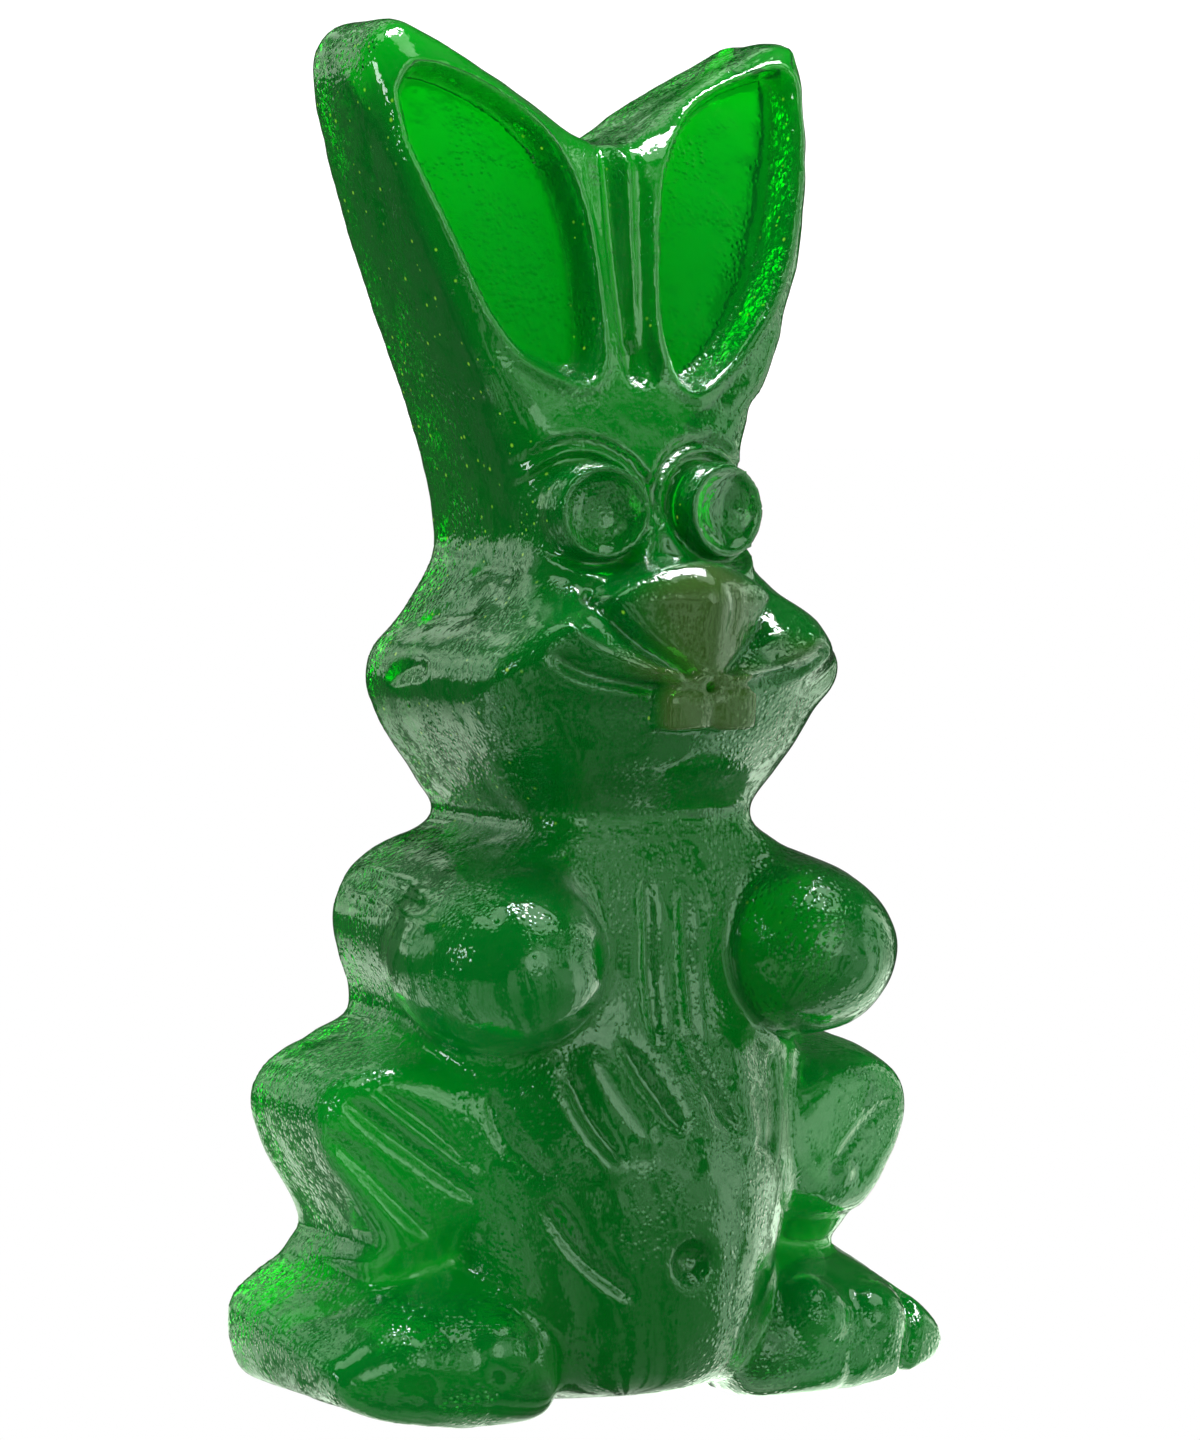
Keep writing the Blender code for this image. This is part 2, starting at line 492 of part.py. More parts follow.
@dataclass(frozen=True)
class Legs:
    """Thighs with their folds, and the feet with their toes."""

    thighs: tuple[tuple[Limb | Ball, float], ...] = (
        (Ball((-15.0, 4.6, 17.3), (8.2, 13.0, 7.3), False, ((-12.5, 15.2, 18.0), (-0.46, 1.0, -0.06))), 1.2),
        (Ball((15.0, 5.0, 16.9), (8.8, 15.5, 6.9), False, ((12.5, 17.2, 18.0), (0.24, 1.0, -0.06))), 1.2),
        (Limb((15.8, 1.0, 12.5), (14.8, 9.5, 11.4), 3.8, 3.4), 1.8),
    )
    knuckles: tuple[tuple[Ball, float], ...] = (
        (Ball((-11.2, 15.9, 4.8), (2.7, 3.0, 2.7), both=False), 0.5),
        (Ball((-16.4, 15.2, 4.4), (2.7, 3.0, 2.5), both=False), 0.5),
        (Ball((12.4, 15.8, 4.9), (2.6, 3.0, 2.8), both=False), 0.5),
        (Ball((17.3, 15.1, 4.4), (2.6, 3.0, 2.6), both=False), 0.5),
    )
    folds: tuple[Stroke, ...] = (
        Stroke(((-19.2, 20.6), (-17.2, 18.9), (-14.8, 16.9), (-11.9, 14.6)), 0.4, 0.7),
        Stroke(((-18.6, 21.5), (-16.4, 19.6), (-14.0, 17.6), (-12.0, 15.9)), 0.35, -0.35),
        Stroke(((-17.2, 21.2), (-14.8, 19.3), (-12.6, 16.9)), 0.35, 0.5),
        Stroke(((-20.0, 18.4), (-17.4, 15.6), (-14.6, 12.4)), 0.5, 0.7),
        Stroke(((19.1, 18.7), (17.4, 18.1), (15.6, 16.7), (14.1, 15.2)), 0.25, 0.35),
        Stroke(((14.4, 14.9), (15.2, 14.3)), 0.6, -0.4),
    )
    toes: tuple[Stroke, ...] = (
        Stroke(((-12.0, 3.8), (-12.1, 2.6), (-12.1, 0.0)), 0.3, 0.3),
        Stroke(((-16.8, 4.0), (-16.9, 2.6), (-16.8, 0.0)), 0.35, 0.25),
        Stroke(((14.6, 3.0), (14.5, 1.8), (14.6, 0.0)), 0.45, 0.4),
        Stroke(((20.3, 6.6), (20.4, 4.8), (19.5, 2.4), (19.3, 0.0)), 0.45, 0.95),
    )
    crest_x: Point2 = (12.2, 12.6)   # x of the highest line along the left and the right foot
    crest: Point2 = (12.3, 8.4)      # z of that line at the back and at the toes
    fall: Point2 = (0.117, 1.6)      # fall to each side: factor and power of the distance
    span: Point2 = (6.8, 24.0)       # x
    length: float = 18.2             # height of the toes in front of the back
    toe_face: Point2 = (3.9, 2.9)    # the toes' front stands upright up to here, left and right
    toe_foot: float = 2.2            # and curls under below this

    def feet(self, grid: Lattice) -> np.ndarray:
        """A foot: its top falls from one line to each side, its toes stand upright and curl under."""
        across = np.abs(grid.x)
        line, face = (np.where(grid.x < 0.0, *pair) for pair in (self.crest_x, self.toe_face))
        crest = np.interp(grid.h, (0.0, self.length), self.crest)
        top = (grid.z - crest + self.fall[0] * np.abs(across - line) ** self.fall[1]) * 0.85
        sides = np.maximum(self.span[0] - across, across - self.span[1])
        lean = 0.16 * np.clip(grid.z - face, 0.0, None) ** 2 + 0.2 * np.clip(self.toe_foot - grid.z, 0.0, None) ** 2
        toes = grid.h - self.length + 0.022 * (across - line) ** 2 + lean
        return trim(trim(top, toes, 1.4), sides, 2.2)


@dataclass(frozen=True)
class Fur:
    """Grooves of the fur, the whisker creases and the navel."""

    front: tuple[Stroke, ...] = (
        Stroke(((-1.4, 32.5), (-1.5, 29.0), (-1.3, 24.2)), 0.45, 0.75),
        Stroke(((1.3, 31.5), (1.3, 28.0), (1.5, 25.0)), 0.45, 0.75),
        Stroke(((-7.1, 22.6), (-6.2, 19.6), (-4.8, 17.3)), 0.5, 0.8),
        Stroke(((-3.6, 24.2), (-2.4, 21.8), (-0.7, 19.0)), 0.5, 0.85),
        Stroke(((-8.4, 21.6), (-7.0, 19.2), (-5.5, 16.4)), 1.2, -0.8),
        Stroke(((-5.8, 23.4), (-4.7, 21.0), (-3.0, 18.4)), 1.2, -0.9),
        Stroke(((-1.3, 24.2), (-0.2, 21.8), (1.5, 19.2)), 1.2, -0.8),
        Stroke(((4.3, 23.8), (5.1, 21.4), (5.6, 18.2)), 1.3, -0.9),
        Stroke(((0.7, 24.7), (2.0, 21.6), (3.6, 18.6)), 0.5, 0.8),
        Stroke(((5.6, 20.9), (6.1, 18.9), (6.1, 17.0)), 0.5, 0.7),
        Stroke(((8.4, 22.6), (8.1, 19.8), (7.2, 16.5)), 0.5, 0.8),
        Stroke(((-8.6, 14.2), (-6.6, 11.0), (-4.0, 8.6)), 0.5, 0.8),
        Stroke(((-11.0, 20.8), (-10.2, 18.0), (-8.7, 16.0)), 0.5, 0.6),
    )
    whiskers: tuple[Stroke, ...] = (
        Stroke(((5.5, 53.3), (9.5, 54.0), (14.0, 53.9)), 0.4, 0.6, Face.LEFT),
        Stroke(((4.0, 50.4), (7.5, 51.2), (11.5, 51.4)), 0.45, 0.6, Face.LEFT),
        Stroke(((5.0, 47.6), (9.0, 48.6), (13.6, 48.9)), 0.5, 0.7, Face.LEFT),
        Stroke(((5.5, 53.3), (9.5, 54.0), (14.0, 53.9)), 0.4, 0.6, Face.RIGHT),
        Stroke(((4.0, 50.4), (7.5, 51.2), (11.5, 51.4)), 0.45, 0.6, Face.RIGHT),
        Stroke(((5.0, 47.6), (9.0, 48.6), (13.6, 48.9)), 0.5, 0.7, Face.RIGHT),
    )
    navel: Ball = Ball((0.1, 22.9, 10.4), (1.6, 2.0, 1.6), both=False)
    navel_round: float = 0.5


@dataclass(frozen=True)
class Casting:
    """The whole rabbit."""

    walls: Walls = field(default_factory=Walls)
    trunk: Trunk = field(default_factory=Trunk)
    ears: Ears = field(default_factory=Ears)
    eyes: Eyes = field(default_factory=Eyes)
    snout: Snout = field(default_factory=Snout)
    arms: Arms = field(default_factory=Arms)
    legs: Legs = field(default_factory=Legs)
    fur: Fur = field(default_factory=Fur)

    def distance(self, grid: Lattice) -> np.ndarray:
        """The casting's field: minus inside, in about millimetres."""
        body = self.trunk.field(grid)
        for form, fillet in self.arms.shoulders + self.legs.thighs + self.snout.puffs:
            body = join(body, form.field(grid), fillet)
        feet = self.legs.feet(grid)
        for form, fillet in self.legs.knuckles:
            feet = join(feet, form.field(grid), fillet)
        body = join(body, feet, 1.2)
        body = body + self.eyes.rings(grid)
        body = join(body, self.snout.muzzle(grid), 0.5)
        body = join(body, self.snout.nose(grid), 0.35)
        body = join(body, self.snout.teeth(grid), 0.25)
        for stroke in self.ears.folds + self.snout.lines + self.fur.front + self.legs.folds + self.legs.toes:
            body = body + stroke.sunk(grid)
        body = trim(body, -self.fur.navel.field(grid), self.fur.navel_round)
        body = body + self.ears.sunk(grid)
        # nothing hangs over: what stands in front of a place fills it to the back
        body = np.minimum.accumulate(body[:, ::-1, :], axis=1)[:, ::-1, :]
        solid = trim(self.walls.field(grid), body, self.walls.rounding(grid))
        for form, fillet in self.arms.paws:
            solid = join(solid, form.field(grid), fillet)
        for stroke in self.arms.creases + self.fur.whiskers:
            solid = solid + stroke.sunk(grid)
        solid = join(solid, self.eyes.field(grid), 0.3)
        solid = trim(solid, -grid.h, self.walls.back_round)
        return trim(solid, -grid.z, self.walls.base_round)


def without_saddles(distance: np.ndarray) -> np.ndarray:
    """The field with material added where the surface would touch itself along a line.

    Two inside corners across a lattice square from two outside ones leave it open which of them join:
    the outside corner nearer the surface is moved inside.
    """
    distance = distance.copy()
    corners = ((0, 0), (1, 0), (1, 1), (0, 1))
    for _ in range(8):
        found = 0
        for first, second in ((0, 1), (1, 2), (0, 2)):
            spans = []
            for low, high in corners:
                cut = [slice(None)] * 3
                cut[first] = slice(low, distance.shape[first] - 1 + low)
                cut[second] = slice(high, distance.shape[second] - 1 + high)
                spans.append(distance[tuple(cut)] < 0.0)
            mixed = (spans[0] == spans[2]) & (spans[1] == spans[3]) & (spans[0] != spans[1])
            for place in np.argwhere(mixed):
                outer = []
                for low, high in corners:
                    corner = place.copy()
                    corner[first] += low
                    corner[second] += high
                    if distance[tuple(corner)] >= 0.0:
                        outer.append(tuple(corner))
                if outer:
                    distance[min(outer, key=lambda corner: distance[corner])] = -0.05
                    found += 1
        if not found:
            break
    return distance


def surface_of(distance: np.ndarray, grid: Lattice) -> tuple[np.ndarray, np.ndarray]:
    """The surface where the field is zero, as one point in each cell that it crosses.

    Args:
        distance: The values on the lattice.
        grid: The lattice.

    Returns:
        The points (x, h, z), and the four-sided faces between them, facing out once h runs to -Y.
    """
    inside = distance < 0.0
    cells = tuple(size - 1 for size in distance.shape)
    total = np.zeros((int(np.prod(cells)), 3))
    count = np.zeros(int(np.prod(cells)))
    faces = []
    for axis in range(3):
        low = [slice(None)] * 3
        high = [slice(None)] * 3
        low[axis], high[axis] = slice(0, -1), slice(1, None)
        changes = np.argwhere(inside[tuple(low)] != inside[tuple(high)])
        ends = changes.copy()
        ends[:, axis] += 1
        near, far = distance[tuple(changes.T)], distance[tuple(ends.T)]
        point = changes.astype(float)
        point[:, axis] += near / (near - far)
        others = [(axis + 1) % 3, (axis + 2) % 3]
        corners = []
        for first, second in ((0, 0), (-1, 0), (-1, -1), (0, -1)):
            cell = changes.copy()
            cell[:, others[0]] += first
            cell[:, others[1]] += second
            number = np.ravel_multi_index(tuple(cell.T), cells)
            np.add.at(total, number, point)
            np.add.at(count, number, 1.0)
            corners.append(number)
        quads = np.stack(corners, axis=1)
        turned = ~inside[tuple(ends.T)]
        quads[turned] = quads[turned][:, ::-1]
        faces.append(quads)
    used = np.flatnonzero(count)
    order = np.full(count.shape, -1)
    order[used] = np.arange(len(used))
    points = grid.corner + grid.step * total[used] / count[used][:, None]
    return points, order[np.vstack(faces)]


def jelly_material() -> bpy.types.Material:
    """Clear deep-green jelly."""
    material = bpy.data.materials.new("green_jelly")
    material.use_nodes = True
    finish = material.node_tree.nodes["Principled BSDF"]
    finish.inputs["Base Color"].default_value = (0.015, 0.16, 0.02, 1.0)
    finish.inputs["Roughness"].default_value = 0.16
    finish.inputs["Metallic"].default_value = 0.0
    return material


def build_rabbit() -> bpy.types.Object:
    """The casting as one closed object."""
    casting = Casting()
    half_width = max(x for x, _ in casting.walls.side)
    depth = max(height for _, height in casting.snout.ridge)
    grid = Lattice.around(half_width, depth, max(z for _, z in casting.walls.ear_left), LATTICE)
    points, faces = surface_of(without_saddles(casting.distance(grid)), grid)
    places = MM * np.stack([points[:, 0] - MIDDLE_X, BACK_Y - points[:, 1], points[:, 2]], axis=1)
    mesh = bpy.data.meshes.new("gummy_bunny")
    mesh.from_pydata(places.tolist(), [], faces.tolist())
    mesh.materials.append(jelly_material())
    rabbit = bpy.data.objects.new("gummy_bunny", mesh)
    bpy.context.scene.collection.objects.link(rabbit)
    thin = rabbit.modifiers.new("thin", "DECIMATE")
    thin.ratio = TRIANGLES / (2 * len(faces))
    thin.use_collapse_triangulate = True
    mesh.shade_smooth()
    return rabbit


def main() -> None:
    """Clear the scene and build the rabbit."""
    for item in list(bpy.data.objects):
        bpy.data.objects.remove(item, do_unlink=True)
    build_rabbit()


main()
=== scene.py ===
"""Looks of the moulded jelly rabbit: clear green jelly with its wet skin, on a white floor.

The casting is worked out as a field of signed distances in millimetres, on a regular lattice: its outline
is pushed forward from a flat back, the front is the union of its body forms, and face, ears, paws, feet
and fur are raised or cut by named amounts. The surface where the field is zero becomes the mesh.

Axes of the field: x to the viewer's right, h the height in front of the flat back (towards -Y), z up.
"""

import logging
import math
from dataclasses import dataclass, replace
from enum import Enum
from typing import ClassVar

import bpy
import numpy as np
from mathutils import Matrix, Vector


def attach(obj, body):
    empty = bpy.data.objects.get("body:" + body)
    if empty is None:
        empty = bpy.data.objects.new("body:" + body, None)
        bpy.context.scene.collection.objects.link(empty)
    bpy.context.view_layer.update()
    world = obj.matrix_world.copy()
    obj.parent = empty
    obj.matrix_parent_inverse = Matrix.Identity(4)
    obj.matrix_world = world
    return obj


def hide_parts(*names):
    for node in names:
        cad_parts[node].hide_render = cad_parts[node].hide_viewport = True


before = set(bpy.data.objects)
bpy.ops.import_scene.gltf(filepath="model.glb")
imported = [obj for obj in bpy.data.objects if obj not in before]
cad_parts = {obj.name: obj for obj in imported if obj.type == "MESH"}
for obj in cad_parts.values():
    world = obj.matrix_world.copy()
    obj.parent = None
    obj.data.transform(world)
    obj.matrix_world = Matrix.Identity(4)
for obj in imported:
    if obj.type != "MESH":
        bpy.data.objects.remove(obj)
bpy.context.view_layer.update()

LOG = logging.getLogger("jelly_rabbit")
MM = 0.001
BACK_Y = 13.04               # the flat back stands this far behind the origin
MIDDLE_X = 0.17              # the middle of the casting is this far right of the line between the eyes

Point2 = tuple[float, float]
Point3 = tuple[float, float, float]
Line = tuple[Point2, ...]
Array = np.ndarray
Tree = bpy.types.ShaderNodeTree
Socket = bpy.types.NodeSocket


# ------------------------------------------------------------------ fields and curves
def smooth_curve(knots: Array | tuple[tuple[float, ...], ...], steps: int = 4) -> Array:
    """A Catmull-Rom curve: between two knots, a cubic whose slope at a knot is half the step past it.

    Args:
        knots: The points to pass through, one a row.
        steps: How many points are made for each knot.

    Returns:
        The points of the curve, with the last knot.
    """
    knots = np.asarray(knots)
    before = np.vstack([2 * knots[0] - knots[1], knots[:-2]])
    start, stop = knots[:-1], knots[1:]
    after = np.vstack([knots[2:], 2 * knots[-1] - knots[-2]])
    t = (np.arange(steps) / steps)[None, :, None]
    start, stop, before, after = (part[:, None, :] for part in (start, stop, before, after))
    curve = 0.5 * (2 * start + (stop - before) * t
                   + (2 * before - 5 * start + 4 * stop - after) * t ** 2
                   + (3 * start - before - 3 * stop + after) * t ** 3)
    return np.vstack([curve.reshape(-1, knots.shape[1]), knots[-1]])


def read_off(table: Array | Line, at: Array) -> Array:
    """The second column of a table, at places in its first."""
    places, values = np.asarray(table).T
    return np.interp(at, places, values)


def join(first: Array, second: Array, round_by: float | Array) -> Array:
    """Union of two fields: the smaller of both, less a parabola of width round_by where they meet."""
    mix = np.clip(0.5 + 0.5 * (second - first) / round_by, 0.0, 1.0)
    return second + (first - second) * mix - round_by * mix * (1.0 - mix)


def trim(first: Array, second: Array, round_by: float | Array) -> Array:
    """What two fields share, its edge rounded by about round_by."""
    return -join(-first, -second, round_by)


def smooth_step(low: float, high: float, value: Array) -> Array:
    """0 at low, 1 at high, with the cubic 3t^2 - 2t^3 between (low may be the larger)."""
    t = np.clip((value - low) / (high - low), 0.0, 1.0)
    return t * t * (3.0 - 2.0 * t)


def ring(distance: Array, radius: float, width: float, depth: float) -> Array:
    """A ring sunk by depth, as a bell curve of half width width round a radius."""
    return depth * np.exp(-((distance - radius) / width) ** 2)


@dataclass(frozen=True)
class Lattice:
    """The regular lattice that fields are worked out on.

    Attributes:
        x: Places across, shaped (nx, 1, 1).
        h: Heights in front of the back, shaped (1, nh, 1).
        z: Places up, shaped (1, 1, nz).
        step: The spacing in millimetres.
    """

    x: Array
    h: Array
    z: Array
    step: float

    @staticmethod
    def around(half_width: float, depth: float, tall: float, step: float, margin: float = 2.0) -> "Lattice":
        """A lattice that holds the body, with an empty margin."""
        def axis(low: float, high: float) -> Array:
            """The places along one side."""
            count = int(np.ceil((high - low + 2.0 * margin) / step)) + 1
            return low - margin + step * np.arange(count)
        x, h, z = axis(-half_width, half_width), axis(0.0, depth), axis(0.0, tall)
        return Lattice(x[:, None, None], h[None, :, None], z[None, None, :], step)

    @property
    def corner(self) -> Array:
        """The lowest corner (x, h, z)."""
        return np.array([self.x.flat[0], self.h.flat[0], self.z.flat[0]])


def loop_field(grid: Lattice, loop: Array) -> Array:
    """Signed distance to a closed loop of points (x, z), minus inside, shaped (nx, 1, nz)."""
    px, pz = np.broadcast_arrays(grid.x[:, 0, :], grid.z[0])
    nearest = np.full(px.shape, np.inf)
    inside = np.zeros(px.shape, dtype=bool)
    for (ax, az), (bx, bz) in zip(loop, np.roll(loop, -1, axis=0)):
        ex, ez = bx - ax, bz - az
        length2 = ex * ex + ez * ez
        if length2 == 0.0:
            continue
        along = np.clip(((px - ax) * ex + (pz - az) * ez) / length2, 0.0, 1.0)
        nearest = np.minimum(nearest, (px - ax - along * ex) ** 2 + (pz - az - along * ez) ** 2)
        if ez != 0.0:
            inside ^= ((az > pz) != (bz > pz)) & (px < ax + (pz - az) * ex / ez)
    return (np.sqrt(nearest) * np.where(inside, -1.0, 1.0))[:, None, :]


@dataclass(frozen=True)
class Ball:
    """An ellipsoid: its middle (x, h, z) and its half sizes, on one side or both.

    Attributes:
        flat: A place on the plane that flattens it and the way out of that plane, where it has one.
    """

    middle: Point3
    half: Point3
    both: bool = True
    flat: tuple[Point3, Point3] | None = None
    FLAT_ROUND: ClassVar[float] = 1.4
    LEAST_SLOPE: ClassVar[float] = 1e-6

    def field(self, grid: Lattice) -> Array:
        """About the signed distance: q (q - 1) / |grad q|, with q the scaled distance from the middle."""
        x = np.abs(grid.x) if self.both else grid.x
        offset = (x - self.middle[0], grid.h - self.middle[1], grid.z - self.middle[2])
        near = np.sqrt(sum((o / r) ** 2 for o, r in zip(offset, self.half)))
        slope = np.sqrt(sum((o / r ** 2) ** 2 for o, r in zip(offset, self.half)))
        egg = near * (near - 1.0) / np.maximum(slope, self.LEAST_SLOPE)
        if self.flat is None:
            return egg
        place, way = np.array(self.flat[0]), np.array(self.flat[1])
        way = way / np.linalg.norm(way)
        beyond = (x - place[0]) * way[0] + (grid.h - place[1]) * way[1] + (grid.z - place[2]) * way[2]
        return trim(egg, beyond, self.FLAT_ROUND)


@dataclass(frozen=True)
class Limb:
    """A round bar between two points (x, h, z), mirrored; its radius runs evenly from end to end."""

    start: Point3
    stop: Point3
    start_radius: float
    stop_radius: float

    def field(self, grid: Lattice) -> Array:
        """Distance to the nearest place on the bar's axis, less the radius there."""
        axis = np.array(self.stop) - np.array(self.start)
        offset = (np.abs(grid.x) - self.start[0], grid.h - self.start[1], grid.z - self.start[2])
        along = np.clip(sum(o * a for o, a in zip(offset, axis)) / (axis @ axis), 0.0, 1.0)
        away = np.sqrt(sum((o - along * a) ** 2 for o, a in zip(offset, axis)))
        return away - (self.start_radius + (self.stop_radius - self.start_radius) * along)


Forms = tuple[tuple[Limb | Ball, float], ...]    # each with the fillet that joins it on


def joined(body: Array, forms: Forms, grid: Lattice) -> Array:
    """The body with each form joined on."""
    for form, fillet in forms:
        body = join(body, form.field(grid), fillet)
    return body


class Face(Enum):
    """The face of the casting that a stroke is drawn on: the sign of its x, or 0 for the front."""

    LEFT = -1
    FRONT = 0
    RIGHT = 1


@dataclass(frozen=True)
class Stroke:
    """A groove (or with a minus depth a ridge) drawn on one face of the casting.

    Attributes:
        points: The line, as (x, z) on the front or (h, z) on a side wall.
        width: Half width of the groove.
        depth: How deep it is.
        face: The face it is on.
        mirror: Whether a front stroke is repeated on the other half.
    """

    points: Line
    width: float
    depth: float
    face: Face = Face.FRONT
    mirror: bool = False
    END_TAPER: ClassVar[float] = 0.55    # how much narrower it is at its ends
    SIDE_FROM: ClassVar[float] = 1.5     # a side wall's stroke starts this far from the middle

    def sunk(self, grid: Lattice) -> Array:
        """How far the surface sinks: a bell curve of the distance to the line, narrower at its ends."""
        side = self.face.value
        across = grid.h if side else np.abs(grid.x) if self.mirror else grid.x
        line = smooth_curve(self.points)
        nearest = np.full(np.broadcast_shapes(across.shape, grid.z.shape), np.inf)
        count = len(line) - 1
        for index, (start, stop) in enumerate(zip(line[:-1], line[1:])):
            edge = stop - start
            along = ((across - start[0]) * edge[0] + (grid.z - start[1]) * edge[1]) / (edge @ edge)
            along = np.clip(along, 0.0, 1.0)
            away = (across - start[0] - along * edge[0]) ** 2 + (grid.z - start[1] - along * edge[1]) ** 2
            taper = 1.0 - self.END_TAPER * (2.0 * (index + along) / count - 1.0) ** 4
            nearest = np.minimum(nearest, away / taper ** 2)
        depth = self.depth * np.exp(-nearest / self.width ** 2)
        return depth * (grid.x * side > self.SIDE_FROM) if side else depth


Strokes = tuple[Stroke, ...]


def carved(body: Array, strokes: Strokes, grid: Lattice) -> Array:
    """The body with each stroke sunk into it."""
    for stroke in strokes:
        body = body + stroke.sunk(grid)
    return body


def on_both_sides(*strokes: Stroke) -> Strokes:
    """The left side wall's strokes, and the same on the right one."""
    return strokes + tuple(replace(stroke, face=Face.RIGHT) for stroke in strokes)


# ------------------------------------------------------------------ sub-assemblies of the casting
@dataclass(frozen=True)
class Walls:
    """The side walls: the outline in the plane of the back, drafted and rounded."""

    draft: float = 0.01          # how far the walls lean in, per mm of height
    back_round: float = 1.3
    base_round: float = 1.6
    spread_from: float = 6.0     # the right half is spread in full from this x outwards
    right_spread: Line = (       # how much wider the right half is, by z
        (0.0, 1.6), (2.5, 2.0), (5.0, 0.5), (9.0, 0.2), (12.0, 0.9), (22.0, 0.5), (25.0, 0.4), (27.5, 1.1),
        (31.0, 1.0), (34.0, 0.4), (38.0, 0.8), (42.0, 1.4), (46.0, 0.9), (58.0, 0.6), (64.0, 0.9),
        (74.0, 1.1), (80.0, 0.7), (86.0, 0.4))
    steps: int = 5
    side: Line = (
        (11.5, -4.0), (14.6, -0.6), (18.6, 0.7), (21.4, 1.9), (22.4, 3.8), (22.6, 5.8), (22.2, 7.6),
        (20.3, 9.4), (18.2, 10.7), (17.5, 11.7), (18.3, 13.7), (19.9, 16.4), (20.9, 19.4), (20.4, 21.7),
        (18.7, 23.2), (15.9, 24.3), (14.0, 25.2), (13.8, 26.7), (14.4, 28.8), (14.9, 31.2), (14.6, 32.9),
        (13.5, 34.7), (11.2, 36.2), (8.4, 37.4), (7.7, 38.5), (8.7, 40.1), (10.5, 42.6), (11.8, 44.8),
        (12.5, 46.8), (12.1, 48.9), (10.2, 51.0), (8.4, 53.4), (7.5, 55.4), (7.6, 58.0), (8.3, 61.2),
        (9.6, 65.2), (11.3, 69.4), (13.0, 74.0), (14.6, 79.0), (15.7, 83.2), (16.2, 86.2), (15.9, 88.0),
    )
    ear_left: Line = (
        (14.8, 89.2), (13.1, 89.6), (10.5, 88.4), (7.9, 87.0), (5.6, 85.6), (3.4, 84.0), (1.4, 82.4))
    ear_right: Line = (
        (15.5, 88.9), (14.2, 89.0), (12.0, 87.9), (9.9, 86.8), (7.8, 85.7), (5.5, 84.4), (3.6, 83.0))
    notch: Point2 = (1.4, 81.9)
    edge_round: Line = (   # blend from the walls to the front, by z
        (0.0, 0.5), (8.0, 0.6), (11.0, 1.6), (36.0, 2.0), (39.0, 3.0), (45.0, 3.0), (48.0, 1.6), (51.0, 1.6),
        (54.0, 3.2), (63.0, 3.2), (67.0, 2.0), (80.0, 2.0), (85.0, 3.6), (90.0, 3.6))

    def field(self, grid: Lattice) -> Array:
        """Signed distance to the drafted walls."""
        right = np.array([*self.side, *self.ear_right, self.notch])
        share = np.clip(right[:, 0] / self.spread_from, 0.0, 1.0)
        right[:, 0] += read_off(self.right_spread, right[:, 1]) * share
        left = np.array([*self.side, *self.ear_left])[::-1] * (-1.0, 1.0)
        return loop_field(grid, smooth_curve(np.vstack([right, left]), self.steps)) + self.draft * grid.h

    def rounding(self, grid: Lattice) -> Array:
        """How much the edge between walls and front is rounded, at each height."""
        return read_off(self.edge_round, grid.z)


@dataclass(frozen=True)
class Trunk:
    """Trunk, head and ears as one front surface, from sections.

    Attributes:
        sections: z, half width, height of the front at its sides, height at its middle, and the power of
            the curve between them.
        flank: Fall of the flanks outside the half width.
        steps: Points of the curve for each section.
        steepest: The most that the front's squared slope counts for.
    """

    flank: float = 2.4
    steps: int = 6
    steepest: float = 6.0
    sections: tuple[tuple[float, float, float, float, float], ...] = (
        (0.0, 8.6, 9.0, 11.0, 0.75),
        (1.8, 9.3, 12.0, 18.6, 0.75),
        (5.0, 10.2, 13.0, 21.2, 0.75),
        (10.0, 11.3, 13.3, 22.2, 0.75),
        (15.0, 12.3, 13.4, 22.4, 0.75),
        (17.5, 12.5, 13.4, 22.1, 0.75),
        (20.0, 12.7, 13.4, 21.4, 0.75),
        (24.0, 12.5, 13.4, 20.2, 0.75),
        (28.0, 11.8, 13.6, 19.5, 0.75),
        (32.0, 11.2, 15.6, 19.2, 0.75),
        (35.0, 10.6, 16.4, 18.6, 0.75),
        (37.0, 9.6, 16.8, 18.2, 0.8),
        (38.6, 9.2, 16.4, 17.8, 0.9),
        (40.0, 9.6, 16.6, 18.8, 1.0),
        (42.0, 11.0, 16.8, 20.9, 1.0),
        (44.0, 12.2, 17.2, 22.1, 1.0),
        (46.0, 13.0, 18.0, 22.8, 1.0),
        (47.5, 13.2, 18.8, 23.2, 1.0),
        (49.0, 13.0, 19.2, 23.0, 1.0),
        (50.5, 12.6, 18.4, 22.0, 1.0),
        (52.0, 11.8, 18.0, 20.6, 1.0),
        (53.5, 10.8, 17.6, 19.4, 1.0),
        (55.0, 10.0, 16.9, 18.4, 1.0),
        (58.0, 9.3, 15.2, 17.4, 0.9),
        (60.5, 9.4, 14.4, 16.8, 0.8),
        (63.0, 10.2, 13.9, 15.7, 0.8),
        (66.0, 12.0, 14.1, 14.4, 0.75),
        (70.0, 40.0, 13.6, 13.6, 0.75),
        (76.0, 40.0, 12.5, 12.5, 0.75),
        (84.0, 40.0, 10.7, 10.7, 0.75),
        (91.0, 40.0, 9.3, 9.3, 0.75),
    )

    def field(self, grid: Lattice) -> Array:
        """Height above the front, scaled by the front's own slope."""
        places, *columns = smooth_curve(self.sections, self.steps).T
        width, side, middle, power = (np.interp(grid.z, places, column) for column in columns)
        reach = np.abs(grid.x) / width
        crown = np.clip(1.0 - reach ** 2, 0.0, 1.0) ** power
        surface = side + (middle - side) * crown - self.flank * np.clip(np.abs(grid.x) - width, 0.0, None)
        rise_z = np.gradient(surface, grid.step, axis=2)
        rise_x = np.gradient(surface, grid.step, axis=0)
        return (grid.h - surface) / np.sqrt(1.0 + np.minimum(rise_x ** 2 + rise_z ** 2, self.steepest))


